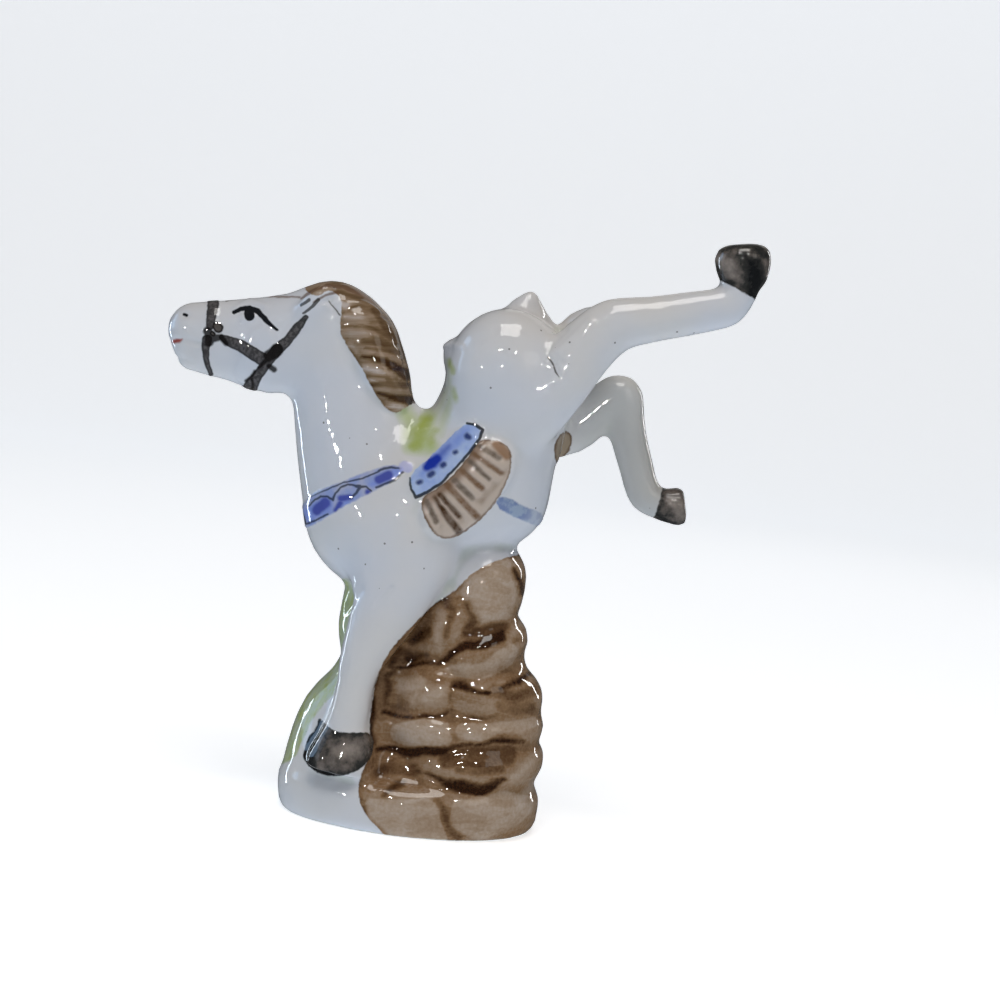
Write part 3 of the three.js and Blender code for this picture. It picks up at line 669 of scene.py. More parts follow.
near_points = spots * [1, 0, 1] / MM + np.abs(spots) * [0, 1, 0] / MM
_, off = along_and_off(near_points, *FORE_HOOF_AXIS)
hoof = np.minimum(inside_outline(FORE_HOOF, pixels) * DISTANCE / FOCAL / MM, FORE_HOOF_REACH - off)
for top, bottom, radius in (THROWN_HOOF, HANGING_HOOF):
    down, off = along_and_off(spots / MM, top, bottom)
    inside = np.minimum(down, radius - off)
    hoof = np.maximum(hoof, inside)
store("hoof", hoof)

# %% Worn and black places on the hooves, and a painted highlight
HOOF_DARK = [
    (1.0, [(317, 722, 5), (309, 738, 8), (306, 754, 9), (313, 767, 6)]),
    (0.9, [(322, 774, 4), (341, 776, 4)]), (0.8, [(341, 776, 4), (357, 771, 3.5), (369, 760, 3)]),
    (0.5, [(333, 732, 4), (347, 733, 3), (369, 733, 3)]),
    (0.95, [(744, 256, 6), (753, 264, 10), (756, 280, 10), (753, 298, 8)]),
    (0.8, [(756, 248, 6), (768, 256, 5)]),
    (0.8, [(714, 264, 3), (718, 276, 5), (724, 282, 4), (732, 282, 3)]),
    (0.7, [(720, 252, 4), (734, 246, 4), (760, 244, 4)]), (0.9, [(669, 492, 3), (684, 493, 3)]),
    (0.6, [(666, 504, 2), (662, 518, 3)]),
    (0.9, [(660, 520, 3), (670, 529, 4), (684, 533, 4), (693, 529, 3)]),
    (0.7, [(690, 500, 2), (693, 513, 2)]),
]
HOOF_WORN_AND_GLINT = [
    (1.0, [(338, 752, 8), (354, 750, 9)]), (1.0, [(721, 259, 6), (729, 267, 7), (733, 276, 5)]),
    # Painted highlight: the last stroke here, from (764, 250), is a glint along the edge of the thrown hoof.
    (0.8, [(675, 503, 7), (682, 514, 7)]), (0.6, [(764, 250, 1.6), (765, 263, 1.6)]),
]
HOOF_DARK_SOFTNESS = 6
HOOF_LIGHT_SOFTNESS = 7
store("hoof_dark", washed(HOOF_DARK, HOOF_DARK_SOFTNESS, pixels))
store("hoof_worn_and_glint", washed(HOOF_WORN_AND_GLINT, HOOF_LIGHT_SOFTNESS, pixels))

# %% Cloth, collar, girth
store("band", inside_outline(BAND, pixels))
store("fringe", inside_outline(FRINGE, pixels))
store("collar", inside_outline(COLLAR, pixels))
store("girth", inside_outline(GIRTH, pixels))
store("leaf", inside_outline(LEAF, pixels))
WIPED_FULL = 0.04
WIPED_EDGE = 0.12
biscuit = ease(-spots[:, 2] / MM, -WIPED_EDGE, -WIPED_FULL) + np.where(sole, 1, 0)
store("biscuit", np.clip(biscuit, 0, 1))
print("attributes stored:", [a.name for a in horse.data.attributes if not a.name.startswith(".")])

# %% [markdown]
# ## Fine lines, drawn in the material
#
# The straps, the eye and the outlines are thinner than the grid, so they are drawn by the material itself,
# at any sharpness. One small node group answers the stroke question for one straight piece: how far
# inside it is this pixel? A longer stroke is the largest answer of its pieces. The card attribute brings
# the pixel of each point, and a little noise makes the lines waver as a hand does.


# %% Node helpers
def node(tree, kind, settings=None, inputs=None):
    """Adds a shader node, sets its fields, and sets or links its inputs."""
    made = tree.nodes.new(kind)
    for name, value in (settings or {}).items():
        setattr(made, name, value)
    for name, value in (inputs or {}).items():
        if isinstance(value, bpy.types.NodeSocket):
            tree.links.new(value, made.inputs[name])
        else:
            made.inputs[name].default_value = value
    return made


def calc(tree, operation, *values, clamp=False):
    """One step of arithmetic on numbers. A Clamp node of its own keeps the shader small enough to render."""
    inputs = dict(enumerate(values))
    made = node(tree, "ShaderNodeMath", {"operation": operation}, inputs).outputs[0]
    return node(tree, "ShaderNodeClamp", None, {"Value": made}).outputs[0] if clamp else made


def vector_calc(tree, operation, *values, result=0):
    """One step of arithmetic on vectors."""
    inputs = dict(enumerate(values))
    return node(tree, "ShaderNodeVectorMath", {"operation": operation}, inputs).outputs[result]


def rise(tree, value, low, high):
    """0 below low, 1 above high, and smooth between them."""
    settings = {"interpolation_type": "SMOOTHSTEP"}
    inputs = {"Value": value, "From Min": low, "From Max": high}
    return node(tree, "ShaderNodeMapRange", settings, inputs).outputs["Result"]


COLOUR_A = 6
COLOUR_B = 7
COLOUR_OUT = 2


def cover(tree, share, below, above):
    """One colour laid over another."""
    inputs = {0: share, COLOUR_A: below, COLOUR_B: above}
    return node(tree, "ShaderNodeMix", {"data_type": "RGBA"}, inputs).outputs[COLOUR_OUT]


def new_group(name, inputs, outputs):
    """An empty shader node group with named sockets, and its two end nodes."""
    group = bpy.data.node_groups.new(name, "ShaderNodeTree")
    for label, kind in inputs:
        group.interface.new_socket(label, in_out="INPUT", socket_type=kind)
    for label, kind in outputs:
        group.interface.new_socket(label, in_out="OUTPUT", socket_type=kind)
    return group, group.nodes.new("NodeGroupInput").outputs, group.nodes.new("NodeGroupOutput").inputs


NUMBER = "NodeSocketFloat"
VECTOR = "NodeSocketVector"

# %% Brush piece group
brush_piece, given, result = new_group(
    "Brush piece",
    [("Card", VECTOR), ("Start", VECTOR), ("End", VECTOR), ("Start width", NUMBER), ("End width", NUMBER)],
    [("Inside", NUMBER)],
)
way = vector_calc(brush_piece, "SUBTRACT", given["End"], given["Start"])
from_start = vector_calc(brush_piece, "SUBTRACT", given["Card"], given["Start"])
run = vector_calc(brush_piece, "DOT_PRODUCT", from_start, way, result=1)
whole = vector_calc(brush_piece, "DOT_PRODUCT", way, way, result=1)
share = calc(brush_piece, "DIVIDE", run, whole, clamp=True)
scaled = {0: way, "Scale": share}
reached = node(brush_piece, "ShaderNodeVectorMath", {"operation": "SCALE"}, scaled).outputs[0]
gap = vector_calc(brush_piece, "SUBTRACT", from_start, reached)
off = vector_calc(brush_piece, "LENGTH", gap, result=1)
growth = calc(brush_piece, "SUBTRACT", given["End width"], given["Start width"])
width = calc(brush_piece, "MULTIPLY_ADD", growth, share, given["Start width"])
brush_piece.links.new(calc(brush_piece, "SUBTRACT", width, off), result["Inside"])


def drawn(tree, card, *strokes):
    """The distance inside the nearest of several strokes, each a list of (x, y, half width) in pixels."""
    best = None
    for stroke in strokes:
        for (x0, y0, wide0), (x1, y1, wide1) in zip(stroke[:-1], stroke[1:]):
            piece = tree.nodes.new("ShaderNodeGroup")
            piece.node_tree = brush_piece
            tree.links.new(card, piece.inputs["Card"])
            piece.inputs["Start"].default_value = (x0, y0, 0)
            piece.inputs["End"].default_value = (x1, y1, 0)
            piece.inputs["Start width"].default_value = wide0
            piece.inputs["End width"].default_value = wide1
            inside = piece.outputs["Inside"]
            best = inside if best is None else calc(tree, "MAXIMUM", best, inside)
    return best


# %% [markdown]
# ## Paint tones
#
# Brush paint under a glaze is never even: it is thin where the brush was dry and dark where it lingered,
# and it gathers in the hollows. One node group makes such a tone from four things: a wash that darkens, a
# wash that lightens, the hollows and a streaky noise. The rock, the mane and the hooves each use it with
# their own values, and a colour ramp in the material turns the tone into their browns and greys.

# %% Paint tone group
STREAK_DETAIL = 5
LIGHTENING = 0.42
DARKENING = 0.48
paint_tone, given, result = new_group(
    "Paint tone",
    [
        ("Place", VECTOR), ("Dark", NUMBER), ("Light", NUMBER), ("Hollow", NUMBER), ("Middle", NUMBER),
        ("Hollow share", NUMBER), ("Streak share", NUMBER), ("Streak size", NUMBER),
    ],
    [("Tone", NUMBER)],
)
streaks = node(
    paint_tone, "ShaderNodeTexNoise", {"noise_dimensions": "3D"},
    {"Vector": given["Place"], "Scale": given["Streak size"], "Detail": STREAK_DETAIL, "Roughness": 0.62},
).outputs["Fac"]
lighter = calc(paint_tone, "MULTIPLY_ADD", given["Light"], LIGHTENING, given["Middle"])
darker = calc(paint_tone, "MULTIPLY_ADD", given["Dark"], -DARKENING, lighter)
gathered = calc(paint_tone, "MULTIPLY", given["Hollow"], given["Hollow share"])
settled = calc(paint_tone, "SUBTRACT", darker, gathered)
wavering = calc(paint_tone, "SUBTRACT", streaks, 0.5)
toned = calc(paint_tone, "MULTIPLY_ADD", wavering, given["Streak share"], settled)
paint_tone.links.new(calc(paint_tone, "ADD", toned, 0, clamp=True), result["Tone"])

# %% [markdown]
# ## Colours without their light
#
# A colour judged from a photograph already holds the light of the room. Used as it is, it would be
# lit a second time and come out too dark. So each paint is named by the colour that it shows, and one
# function takes the light and the haze of the glaze off again.

# %% Colours of the paints
LIGHT_SHARE = 0.62
GLAZE_VEIL = 0.005
DARKEST = 0.002
PALEST = 0.9


def paint(red, green, blue):
    """The paint's own colour for a colour that the photograph shows, from 0 to 255: the faint reflection
    of the room in the glaze is taken off, and the rest is divided by the light that falls on it."""
    linear = [((v / 255 + 0.055) / 1.055) ** 2.4 for v in (red, green, blue)]
    return (*(min(max((v - GLAZE_VEIL) / LIGHT_SHARE, DARKEST), PALEST) for v in linear), 1)


COBALT = paint(30, 48, 140)
INK = paint(28, 29, 32)
BROWN_INK = paint(62, 52, 46)
GREEN = paint(142, 152, 82)

# %% Start of the material
porcelain = bpy.data.materials.new("painted_porcelain")
porcelain.use_nodes = True
tree = porcelain.node_tree
tree.nodes.clear()
place = node(tree, "ShaderNodeTexCoord").outputs["Object"]


def stored(name, output="Fac"):
    """The value kept at the points under a name."""
    return node(tree, "ShaderNodeAttribute", {"attribute_name": name}).outputs[output]


def noise(scale, detail=2, output="Fac", source=None):
    """A soft noise; the scale is in waves for each metre."""
    inputs = {"Vector": source or place, "Scale": scale, "Detail": detail}
    return node(tree, "ShaderNodeTexNoise", None, inputs).outputs[output]


# %% An unsteady hand
HAND_WAVER = 2.2
HAND_WAVES = 620
EDGE_WAVER = 3.0
EDGE_WAVES = 900
FINE_GRAIN = 1500
shake = noise(HAND_WAVES, 2, "Color")
shaken = vector_calc(tree, "MULTIPLY_ADD", shake, (HAND_WAVER, HAND_WAVER, 0), stored("card", "Vector"))
flat_card = vector_calc(tree, "MULTIPLY", shaken, (1, 1, 0))
card = vector_calc(tree, "SUBTRACT", flat_card, (HAND_WAVER / 2, HAND_WAVER / 2, 0))
grain = noise(FINE_GRAIN, 3)
hollow_here = stored("hollow")
shift = calc(tree, "MULTIPLY_ADD", noise(EDGE_WAVES, 3), EDGE_WAVER, -EDGE_WAVER / 2)
print("the hand wavers by", HAND_WAVER / 2, "pixels, and edges by", EDGE_WAVER / 2)


# %% Masks, layers and tones
def edge(name, soft=1.0):
    """A stored distance turned into a mask, its edge wavering a little."""
    wavering = calc(tree, "ADD", stored(name), shift)
    return rise(tree, wavering, -soft, soft), wavering


def brushed(low, high, *strokes):
    """A mask of brush strokes that rises from 0 to 1 between two distances, in pixels inside their edges."""
    return rise(tree, drawn(tree, card, *strokes), low, high)


def laid(below, mask, strength, colour):
    """A thin layer of paint over what lies below, through a mask and at a strength from 0 to 1."""
    return cover(tree, calc(tree, "MULTIPLY", mask, strength), below, colour)


def clouded(value, low, high, first, second):
    """Two colours that pass into each other where a value rises from low to high."""
    return cover(tree, rise(tree, value, low, high), first, second)


def tone(dark, light, middle, hollow_share, streak_share, streak_size, source=None):
    """The paint tone group with this paint's own values."""
    group = tree.nodes.new("ShaderNodeGroup")
    group.node_tree = paint_tone
    tree.links.new(source or place, group.inputs["Place"])
    tree.links.new(stored(dark), group.inputs["Dark"])
    tree.links.new(stored(light), group.inputs["Light"])
    tree.links.new(hollow_here, group.inputs["Hollow"])
    group.inputs["Middle"].default_value = middle
    group.inputs["Hollow share"].default_value = hollow_share
    group.inputs["Streak share"].default_value = streak_share
    group.inputs["Streak size"].default_value = streak_size
    return group.outputs["Tone"]


def ramp(value, *stops):
    """A colour ramp from (position, colour) stops."""
    made = node(tree, "ShaderNodeValToRGB", None, {"Fac": value})
    elements = made.color_ramp.elements
    while len(elements) < len(stops):
        elements.new(0.5)
    for element, (position, colour) in zip(elements, stops):
        element.position = position
        element.color = colour
    return made.outputs["Color"]


# %% [markdown]
# ## The white body
#
# The body is white clay under clear glaze: a cool white that turns faintly greenish where the glaze pools,
# with a few dark specks that the kiln left, and a painted shade on the hanging leg for the haunch's shadow.
# A single flat white would look like plastic.

# %% White body
WHITE = paint(188, 185, 183)
COOL_WHITE = paint(184, 185, 190)
LEG_SHADE_WHITE = paint(158, 155, 146)
GREENISH = paint(160, 165, 155)
base = clouded(noise(38, 2), 0.35, 0.65, WHITE, COOL_WHITE)
pooled = rise(tree, hollow_here, 0.15, 1.0)
base = laid(base, pooled, 0.55, GREENISH)
# Painted shade: the hanging leg is darkened and warmed as if it lay in the shadow of the haunch.
base = laid(base, stored("hanging_leg_shade"), 0.6, LEG_SHADE_WHITE)

# %% Specks
SPECK_SCALE = 330
SPECK_SIZE = 0.075
SPECK_SHARE = 0.72
specks = node(
    tree, "ShaderNodeTexVoronoi", {"feature": "F1"},
    {"Vector": place, "Scale": SPECK_SCALE, "Randomness": 1},
)
speck_near = calc(tree, "LESS_THAN", specks.outputs["Distance"], SPECK_SIZE)
speck_pick = node(tree, "ShaderNodeSeparateColor", None, {"Color": specks.outputs["Color"]}).outputs[0]
speck_here = calc(tree, "MULTIPLY", speck_near, calc(tree, "GREATER_THAN", speck_pick, SPECK_SHARE))
base = laid(base, speck_here, 0.7, BROWN_INK)

# %% [markdown]
# ## Greens
#
# The mound and the seat have a thin green wash, which a wet brush left uneven. The mound is streaked
# upwards like grass, so its noise is stretched along the height, and the seat is patchy with a stronger
# core. The patches are added before the mask is clamped, so that the wash frays at its border.

# %% Mound and seat
PALE_GREEN = paint(156, 166, 122)
MOUND_GREEN = paint(146, 156, 120)
UPRIGHT = (1.4, 1.4, 0.35)
WASH_FRAY = 0.4
CORE_FRAY = 0.9
mound_mask, _ = edge("mound", 1.6)
upright_streaks = node(tree, "ShaderNodeMapping", None, {"Vector": place, "Scale": UPRIGHT}).outputs[0]
streak = noise(420, 4, source=upright_streaks)
mound_green = clouded(streak, 0.42, 0.62, MOUND_GREEN, GREEN)
thin_green = calc(tree, "MULTIPLY_ADD", noise(240, 4), 0.7, 0.45, clamp=True)
base = laid(base, mound_mask, thin_green, mound_green)
patchy = calc(tree, "SUBTRACT", noise(420, 4), 0.5)
for wash_name, fray, wash_colour in (("saddle", WASH_FRAY, PALE_GREEN), ("saddle_core", CORE_FRAY, GREEN)):
    frayed = calc(tree, "MULTIPLY_ADD", patchy, fray, stored(wash_name))
    wash = calc(tree, "MULTIPLY", frayed, rise(tree, stored(wash_name), 0.02, 0.3), clamp=True)
    base = cover(tree, wash, base, wash_colour)

# %% [markdown]
# ## The rock
#
# The rock is brushed in one warm brown, thin on the bulges and nearly black in the folds. The streaks run
# level, as the brush went round it, so the noise is stretched with a Mapping node. Pale patches, where the
# brush was nearly dry, and dark folds, where it was pressed in, are stored distances that lift or lower the
# tone before the ramp colours it. The dark and pale washes also carry a painted shadow beside the foreleg
# and a painted highlight.

# %% Rock tone
LEVEL = (0.5, 0.5, 1.5)
ROCK_MIDDLE = 0.54
ROCK_HOLLOW = 0.16
ROCK_STREAK = 0.42
ROCK_WAVES = 190
PATCH_TONE = 0.2
FOLD_TONE = -0.52
LAYER_TONE = -0.08
LAYER_WAVES = (95, 260)
RIM_TONE = -0.16
GRAIN_TONE = 0.3
level_streaks = node(tree, "ShaderNodeMapping", None, {"Vector": place, "Scale": LEVEL}).outputs[0]
rock_tone = tone("rock_dark_and_shadow", "rock_pale_and_glint", ROCK_MIDDLE, ROCK_HOLLOW, ROCK_STREAK, ROCK_WAVES, level_streaks)
_, patch_inside = edge("rock_patch")
rock_tone = calc(tree, "MULTIPLY_ADD", rise(tree, patch_inside, -1, 2.4), PATCH_TONE, rock_tone)
_, fold_inside = edge("rock_fold")
rock_tone = calc(tree, "MULTIPLY_ADD", rise(tree, fold_inside, -1.4, 4.4), FOLD_TONE, rock_tone)
for layer_waves in LAYER_WAVES:
    layer = rise(tree, noise(layer_waves, 3, source=level_streaks), 0.5, 0.56)
    rock_tone = calc(tree, "MULTIPLY_ADD", layer, LAYER_TONE, rock_tone)
rock_mask, rock_inside = edge("rock", 0.8)
rim = rise(tree, rock_inside, 5.0, 0.0)
rock_tone = calc(tree, "MULTIPLY_ADD", rim, RIM_TONE, rock_tone, clamp=True)
rock_tone = calc(tree, "MULTIPLY_ADD", calc(tree, "SUBTRACT", grain, 0.5), GRAIN_TONE, rock_tone, clamp=True)

# %% Rock colour
ROCK_BROWNS = [
    (0.0, paint(44, 27, 16)), (0.22, paint(84, 61, 42)), (0.45, paint(121, 95, 70)),
    (0.7, paint(148, 128, 109)), (1.0, paint(170, 156, 144)),
]
base = cover(tree, rock_mask, base, ramp(rock_tone, *ROCK_BROWNS))
print("rock browns:", len(ROCK_BROWNS), "steps, from folds to dry patches")

# %% [markdown]
# ## The mane
#
# The mane has the same kind of brown, drawn across the neck in long strands. Its noise is laid on the card,
# turned to the strands' slope and stretched along them, so that the strands run on over the raised locks.

# %% Mane
STRAND_TURN = math.radians(-12)
STRAND_SCALE = (0.03, 0.26, 1)
MANE_MIDDLE = 0.56
MANE_HOLLOW = 0.26
MANE_STREAK = 0.56
MANE_BROWNS = [
    (0.0, paint(36, 20, 10)), (0.2, paint(66, 46, 28)), (0.5, paint(108, 88, 66)),
    (0.75, paint(138, 119, 101)), (1.0, paint(166, 154, 146)),
]
flat_strands = {"Vector": flat_card, "Rotation": (0, 0, STRAND_TURN), "Scale": STRAND_SCALE}
strands = node(tree, "ShaderNodeMapping", None, flat_strands).outputs[0]
mane_tone = tone("mane_dark", "mane_pale_and_highlight", MANE_MIDDLE, MANE_HOLLOW, MANE_STREAK, 1, strands)
mane_mask, _ = edge("mane", 0.8)
base = cover(tree, mane_mask, base, ramp(mane_tone, *MANE_BROWNS))

# %% [markdown]
# ## Saddle cloth, collar and girth
#
# The cloth is pale blue with a cobalt oval and dots, outlined in black with a fine brush, above a fan of
# tassels in beige with brown strokes in the grooves. All are freehand marks of a common kind, so they are
# strokes on the card, with the paint thicker in the middle of a dab. The hollows between the tassels get a
# brown painted shade as well.

# %% Blue band
SKY = paint(132, 150, 192)
PALE_SKY = paint(158, 172, 202)
SMEAR_BLUE = paint(92, 112, 180)
TRAIL_BLUE = paint(50, 70, 150)
DOT_BLUE = paint(30, 40, 88)
BAND_SMEAR = [(422, 474, 3), (440, 458, 8), (452, 445, 7), (466, 430, 3)]
BAND_OVAL = [(427, 467, 4.4), (432, 463, 5.8), (437, 459, 4.6)]
BAND_TRAIL = [(438, 457, 4), (443, 452, 4), (449, 446, 2.6)]
BAND_DOTS = [
    [(418.5, 482.5, 2.4), (420.5, 481.5, 2.4)], [(430, 475, 3), (432.4, 473.5, 3)],
    [(442.4, 465.6, 2.8), (444, 464.6, 2.8)], [(454.8, 452.6, 2.4), (456, 452, 2.4)],
    [(467, 436, 3.2), (469, 437, 3)],
]
band_mask, _ = edge("band", 0.7)
band_colour = clouded(noise(300, 3), 0.3, 0.7, SKY, PALE_SKY)
band_colour = laid(band_colour, brushed(-5, 6, BAND_SMEAR), 0.5, SMEAR_BLUE)
band_colour = laid(band_colour, brushed(-2.6, 3.6, BAND_TRAIL), 0.6, TRAIL_BLUE)
band_colour = cover(tree, brushed(-2.4, 2.6, BAND_OVAL), band_colour, COBALT)
band_colour = laid(band_colour, brushed(-1.8, 2, *BAND_DOTS), 0.9, DOT_BLUE)
base = cover(tree, band_mask, base, band_colour)
print("band:", len(BAND_DOTS), "dots beside the oval")

# %% Tassels
FRINGE_PALE = paint(172, 157, 144)
FRINGE_BROWN = paint(106, 80, 60)
FRINGE_GREY = paint(98, 86, 76)
FRINGE_DARK = paint(66, 46, 32)
GROOVE_SHADE_BROWN = paint(120, 98, 80)
CORNER_BROWN = paint(126, 92, 64)
HEM_BROWN = paint(96, 76, 60)
FRINGE_CORNER = [(497, 444, 5.5), (507, 455, 5.5)]
FRINGE_ROOT = [(424, 503, 4), (447, 486, 6), (472, 458, 6), (482, 442, 3)]
GROOVES = [
    (FRINGE_GREY, [[(479, 445.5, 2.6), (499, 458, 3)], [(455, 481, 3.2), (472, 498, 2.6)],
                   [(469, 461, 2.2), (489, 479, 2.2)], [(427, 502, 2.8), (436, 521, 3)]]),
    (FRINGE_BROWN, [[(473, 453.5, 2.4), (501, 473, 2.6)], [(462, 470.5, 2.8), (482, 488.5, 2.8)],
                    [(447, 485, 3.2), (462, 501, 3.4), (477, 516.5, 3.4)],
                    [(424, 517, 2.4), (431, 530, 2.2)]]),
    (FRINGE_DARK, [[(440, 495, 2.8), (459, 516, 2.4)], [(435, 497.5, 2), (446, 515, 3.2), (460, 533, 4)]]),
]
fringe_mask, fringe_inside = edge("fringe", 0.8)
# Painted shade: the grooves between the tassels are darkened brown so that the rolls stand out.
groove_shade = rise(tree, hollow_here, -0.3, 0.5)
fringe_colour = laid(FRINGE_PALE, groove_shade, 0.8, GROOVE_SHADE_BROWN)
fringe_colour = laid(fringe_colour, brushed(-2, 3, FRINGE_CORNER), 0.8, CORNER_BROWN)
fringe_colour = laid(fringe_colour, brushed(-5, 5, FRINGE_ROOT), 0.7, FRINGE_BROWN)
dry = calc(tree, "MULTIPLY_ADD", noise(700, 3), 0.9, 0.42, clamp=True)
for stroke_colour, strokes in GROOVES:
    fringe_colour = laid(fringe_colour, brushed(-2, 2, *strokes), dry, stroke_colour)
hem = rise(tree, fringe_inside, 3, 0.4)
fringe_colour = laid(fringe_colour, hem, 0.7, HEM_BROWN)
base = cover(tree, fringe_mask, base, fringe_colour)

# %% Outline of the cloth
OUTLINE = [
    (410, 478, 0.9), (411, 489, 1.2), (416, 497.5, 1.6), (427, 492.5, 1.5), (441, 483.5, 1.3),
    (456, 467.5, 1.2), (470, 451.5, 1.3), (479, 439.5, 1.5), (482.5, 430, 1.8), (475, 424.5, 1.5),
    (467, 423, 1.2),
]
base = laid(base, brushed(-0.8, 0.6, OUTLINE), 0.92, INK)

# %% Collar
COLLAR_BLUE = paint(120, 134, 178)
COLLAR_GREY = paint(150, 154, 176)
HALO_BLUE = paint(92, 116, 190)
LILAC = paint(160, 160, 208)
COLLAR_HALO = [[(309, 515, 8), (326, 505, 8)], [(342, 504, 5), (346, 502, 5)], [(372, 485, 3), (396, 473, 6)]]
COLLAR_BLOBS = [
    [(317, 510, 5), (325, 503, 5.4)], [(341, 498.5, 3.6), (350, 497, 3)], [(340, 503, 2.6), (336, 510, 3)],
    [(379, 479.5, 4.6), (388, 475.5, 5)], [(367.5, 492, 2.6), (368.5, 492.6, 2.6)],
]
COLLAR_LINES = [
    [(309, 506, 0.7), (315, 499.8, 0.9), (321, 496.4, 1), (328, 496.6, 1), (333, 500, 1.2)],
    [(333, 500, 1.2), (335, 493, 1), (341, 487.6, 0.9), (348, 484.4, 1), (354, 485.4, 1), (360, 487, 2)],
    [(360, 487, 2), (356.4, 493, 1), (351, 498, 1)], [(360, 487, 1.6), (366, 487, 1), (371, 491, 0.8)],
    [(378, 471, 0.8), (384, 468.4, 1), (391, 467.4, 1.1), (401, 468.4, 0.9)],
    [(403, 472, 1.1), (395, 480, 1.1), (386, 483.4, 1), (376, 487.4, 1)],
    [(310, 497, 0.5), (326, 490, 0.7), (344, 482.4, 0.7), (363, 478.2, 0.8), (379, 471, 0.8)],
    [(303, 514, 0.8), (306, 524, 1), (314, 521, 0.9), (328, 514, 0.8)],
]
KNOT_DAB = [(404, 466, 4.6), (408, 467.4, 4.6)]
collar_mask, _ = edge("collar", 1.4)
collar_colour = clouded(noise(420, 3), 0.35, 0.7, COLLAR_BLUE, COLLAR_GREY)
collar_colour = laid(collar_colour, brushed(-4, 5, *COLLAR_HALO), 0.75, HALO_BLUE)
collar_colour = cover(tree, brushed(-1.8, 2, *COLLAR_BLOBS), collar_colour, COBALT)
base = laid(base, collar_mask, 0.9, collar_colour)
base = laid(base, brushed(-0.9, 0.7, *COLLAR_LINES), 0.8, INK)
base = laid(base, brushed(-2, 1, KNOT_DAB), 0.7, LILAC)
print("collar:", len(COLLAR_BLOBS), "blobs and", len(COLLAR_LINES), "lines")

# %% Girth and leaf
GIRTH_GREY = paint(128, 142, 162)
GIRTH_BLUE = paint(92, 108, 146)
LEAF_EDGE = paint(92, 74, 58)
LEAF_TAN = paint(132, 117, 99)
GIRTH_START = [(500, 503, 12), (514, 508, 12)]
girth_mask, _ = edge("girth", 1.2)
girth_colour = clouded(noise(520, 4), 0.4, 0.62, GIRTH_GREY, GIRTH_BLUE)
girth_strength = calc(tree, "MULTIPLY_ADD", brushed(-14, 4, GIRTH_START), 0.4, 0.5)
base = laid(base, girth_mask, girth_strength, girth_colour)
leaf_mask, leaf_inside = edge("leaf", 0.8)
leaf_colour = clouded(leaf_inside, 0.4, 3.4, LEAF_EDGE, LEAF_TAN)
base = cover(tree, leaf_mask, base, leaf_colour)

# %% [markdown]
# ## Bridle, eye and mouth
#
# The bridle is painted in a thin black that lets the white through, so its strokes are brownish grey with
# darker edges where the paint dried last. The eye is two strokes of solid black, the brow and the drop.

# %% Bridle
STRAP_GREY = paint(76, 72, 72)
STRAP_DARK = paint(44, 41, 40)
STRAP_EDGE = paint(34, 32, 33)
strap_inside = drawn(tree, card, NOSEBAND, CHIN_STRAP, CHEEK_STRAP, THROAT_STRAP)
strap_mask = rise(tree, strap_inside, -0.5, 0.9)
dried = rise(tree, strap_inside, 3.4, 0.6)
mottle = calc(tree, "ADD", grain, calc(tree, "MULTIPLY", noise(700, 3), 0.6))
strap_colour = clouded(mottle, 0.62, 0.98, STRAP_GREY, STRAP_DARK)
strap_colour = laid(strap_colour, dried, 0.9, STRAP_EDGE)
base = laid(base, strap_mask, 0.96, strap_colour)

# %% Buckles and button
BUCKLE_BLACK = paint(24, 22, 22)
BUTTON_EDGE = paint(32, 30, 29)
BUTTON_GREY = paint(78, 73, 70)
BUCKLES = [
    [(207, 331, 4), (211, 336, 6), (209, 342, 5)], [(214, 338, 4), (221, 337, 3.4), (226, 343.5, 2.6)],
    [(269, 356, 6), (277, 350, 6.6)], [(269, 366, 2.6), (274, 369.5, 3)], [(259, 368, 1.6), (267, 359, 3)],
    [(246, 381, 1.6), (251, 377, 1.8), (255, 371, 1.6)], [(252, 379, 1.4), (253, 387, 1.6), (251, 390, 1.6)],
]
BUTTONS = [[(217.6, 326.6, 5), (218.6, 328, 5)], [(212, 333.6, 2.4), (213.4, 334.4, 2.4)]]
base = laid(base, brushed(-1.2, 1.4, *BUCKLES), 0.93, BUCKLE_BLACK)
button_inside = drawn(tree, card, *BUTTONS)
button_colour = clouded(button_inside, 0.8, 2.8, BUTTON_EDGE, BUTTON_GREY)
base = cover(tree, rise(tree, button_inside, -0.8, 0.8), base, button_colour)

# %% Eye, nostril and mouth
LIP_RED = paint(140, 58, 48)
BROW = [(234, 312, 2), (241, 309, 2.2), (250, 307.4, 2.2), (258, 311.5, 2.9), (266, 320, 2.4)]
BROW += [(277, 330, 1.3)]
DROP = [(249.4, 311, 5), (249.6, 315.6, 5.2)]
NOSTRIL_DAB = [(184, 314.6, 1.5), (186.4, 315.4, 1.5)]
LIPS = [(174, 341.4, 1.8), (178.6, 341, 1.9), (182, 339.6, 0.6)]
base = cover(tree, brushed(-0.7, 0.7, BROW, DROP, NOSTRIL_DAB), base, INK)
base = laid(base, brushed(-1.6, 1.4, LIPS), 0.95, LIP_RED)

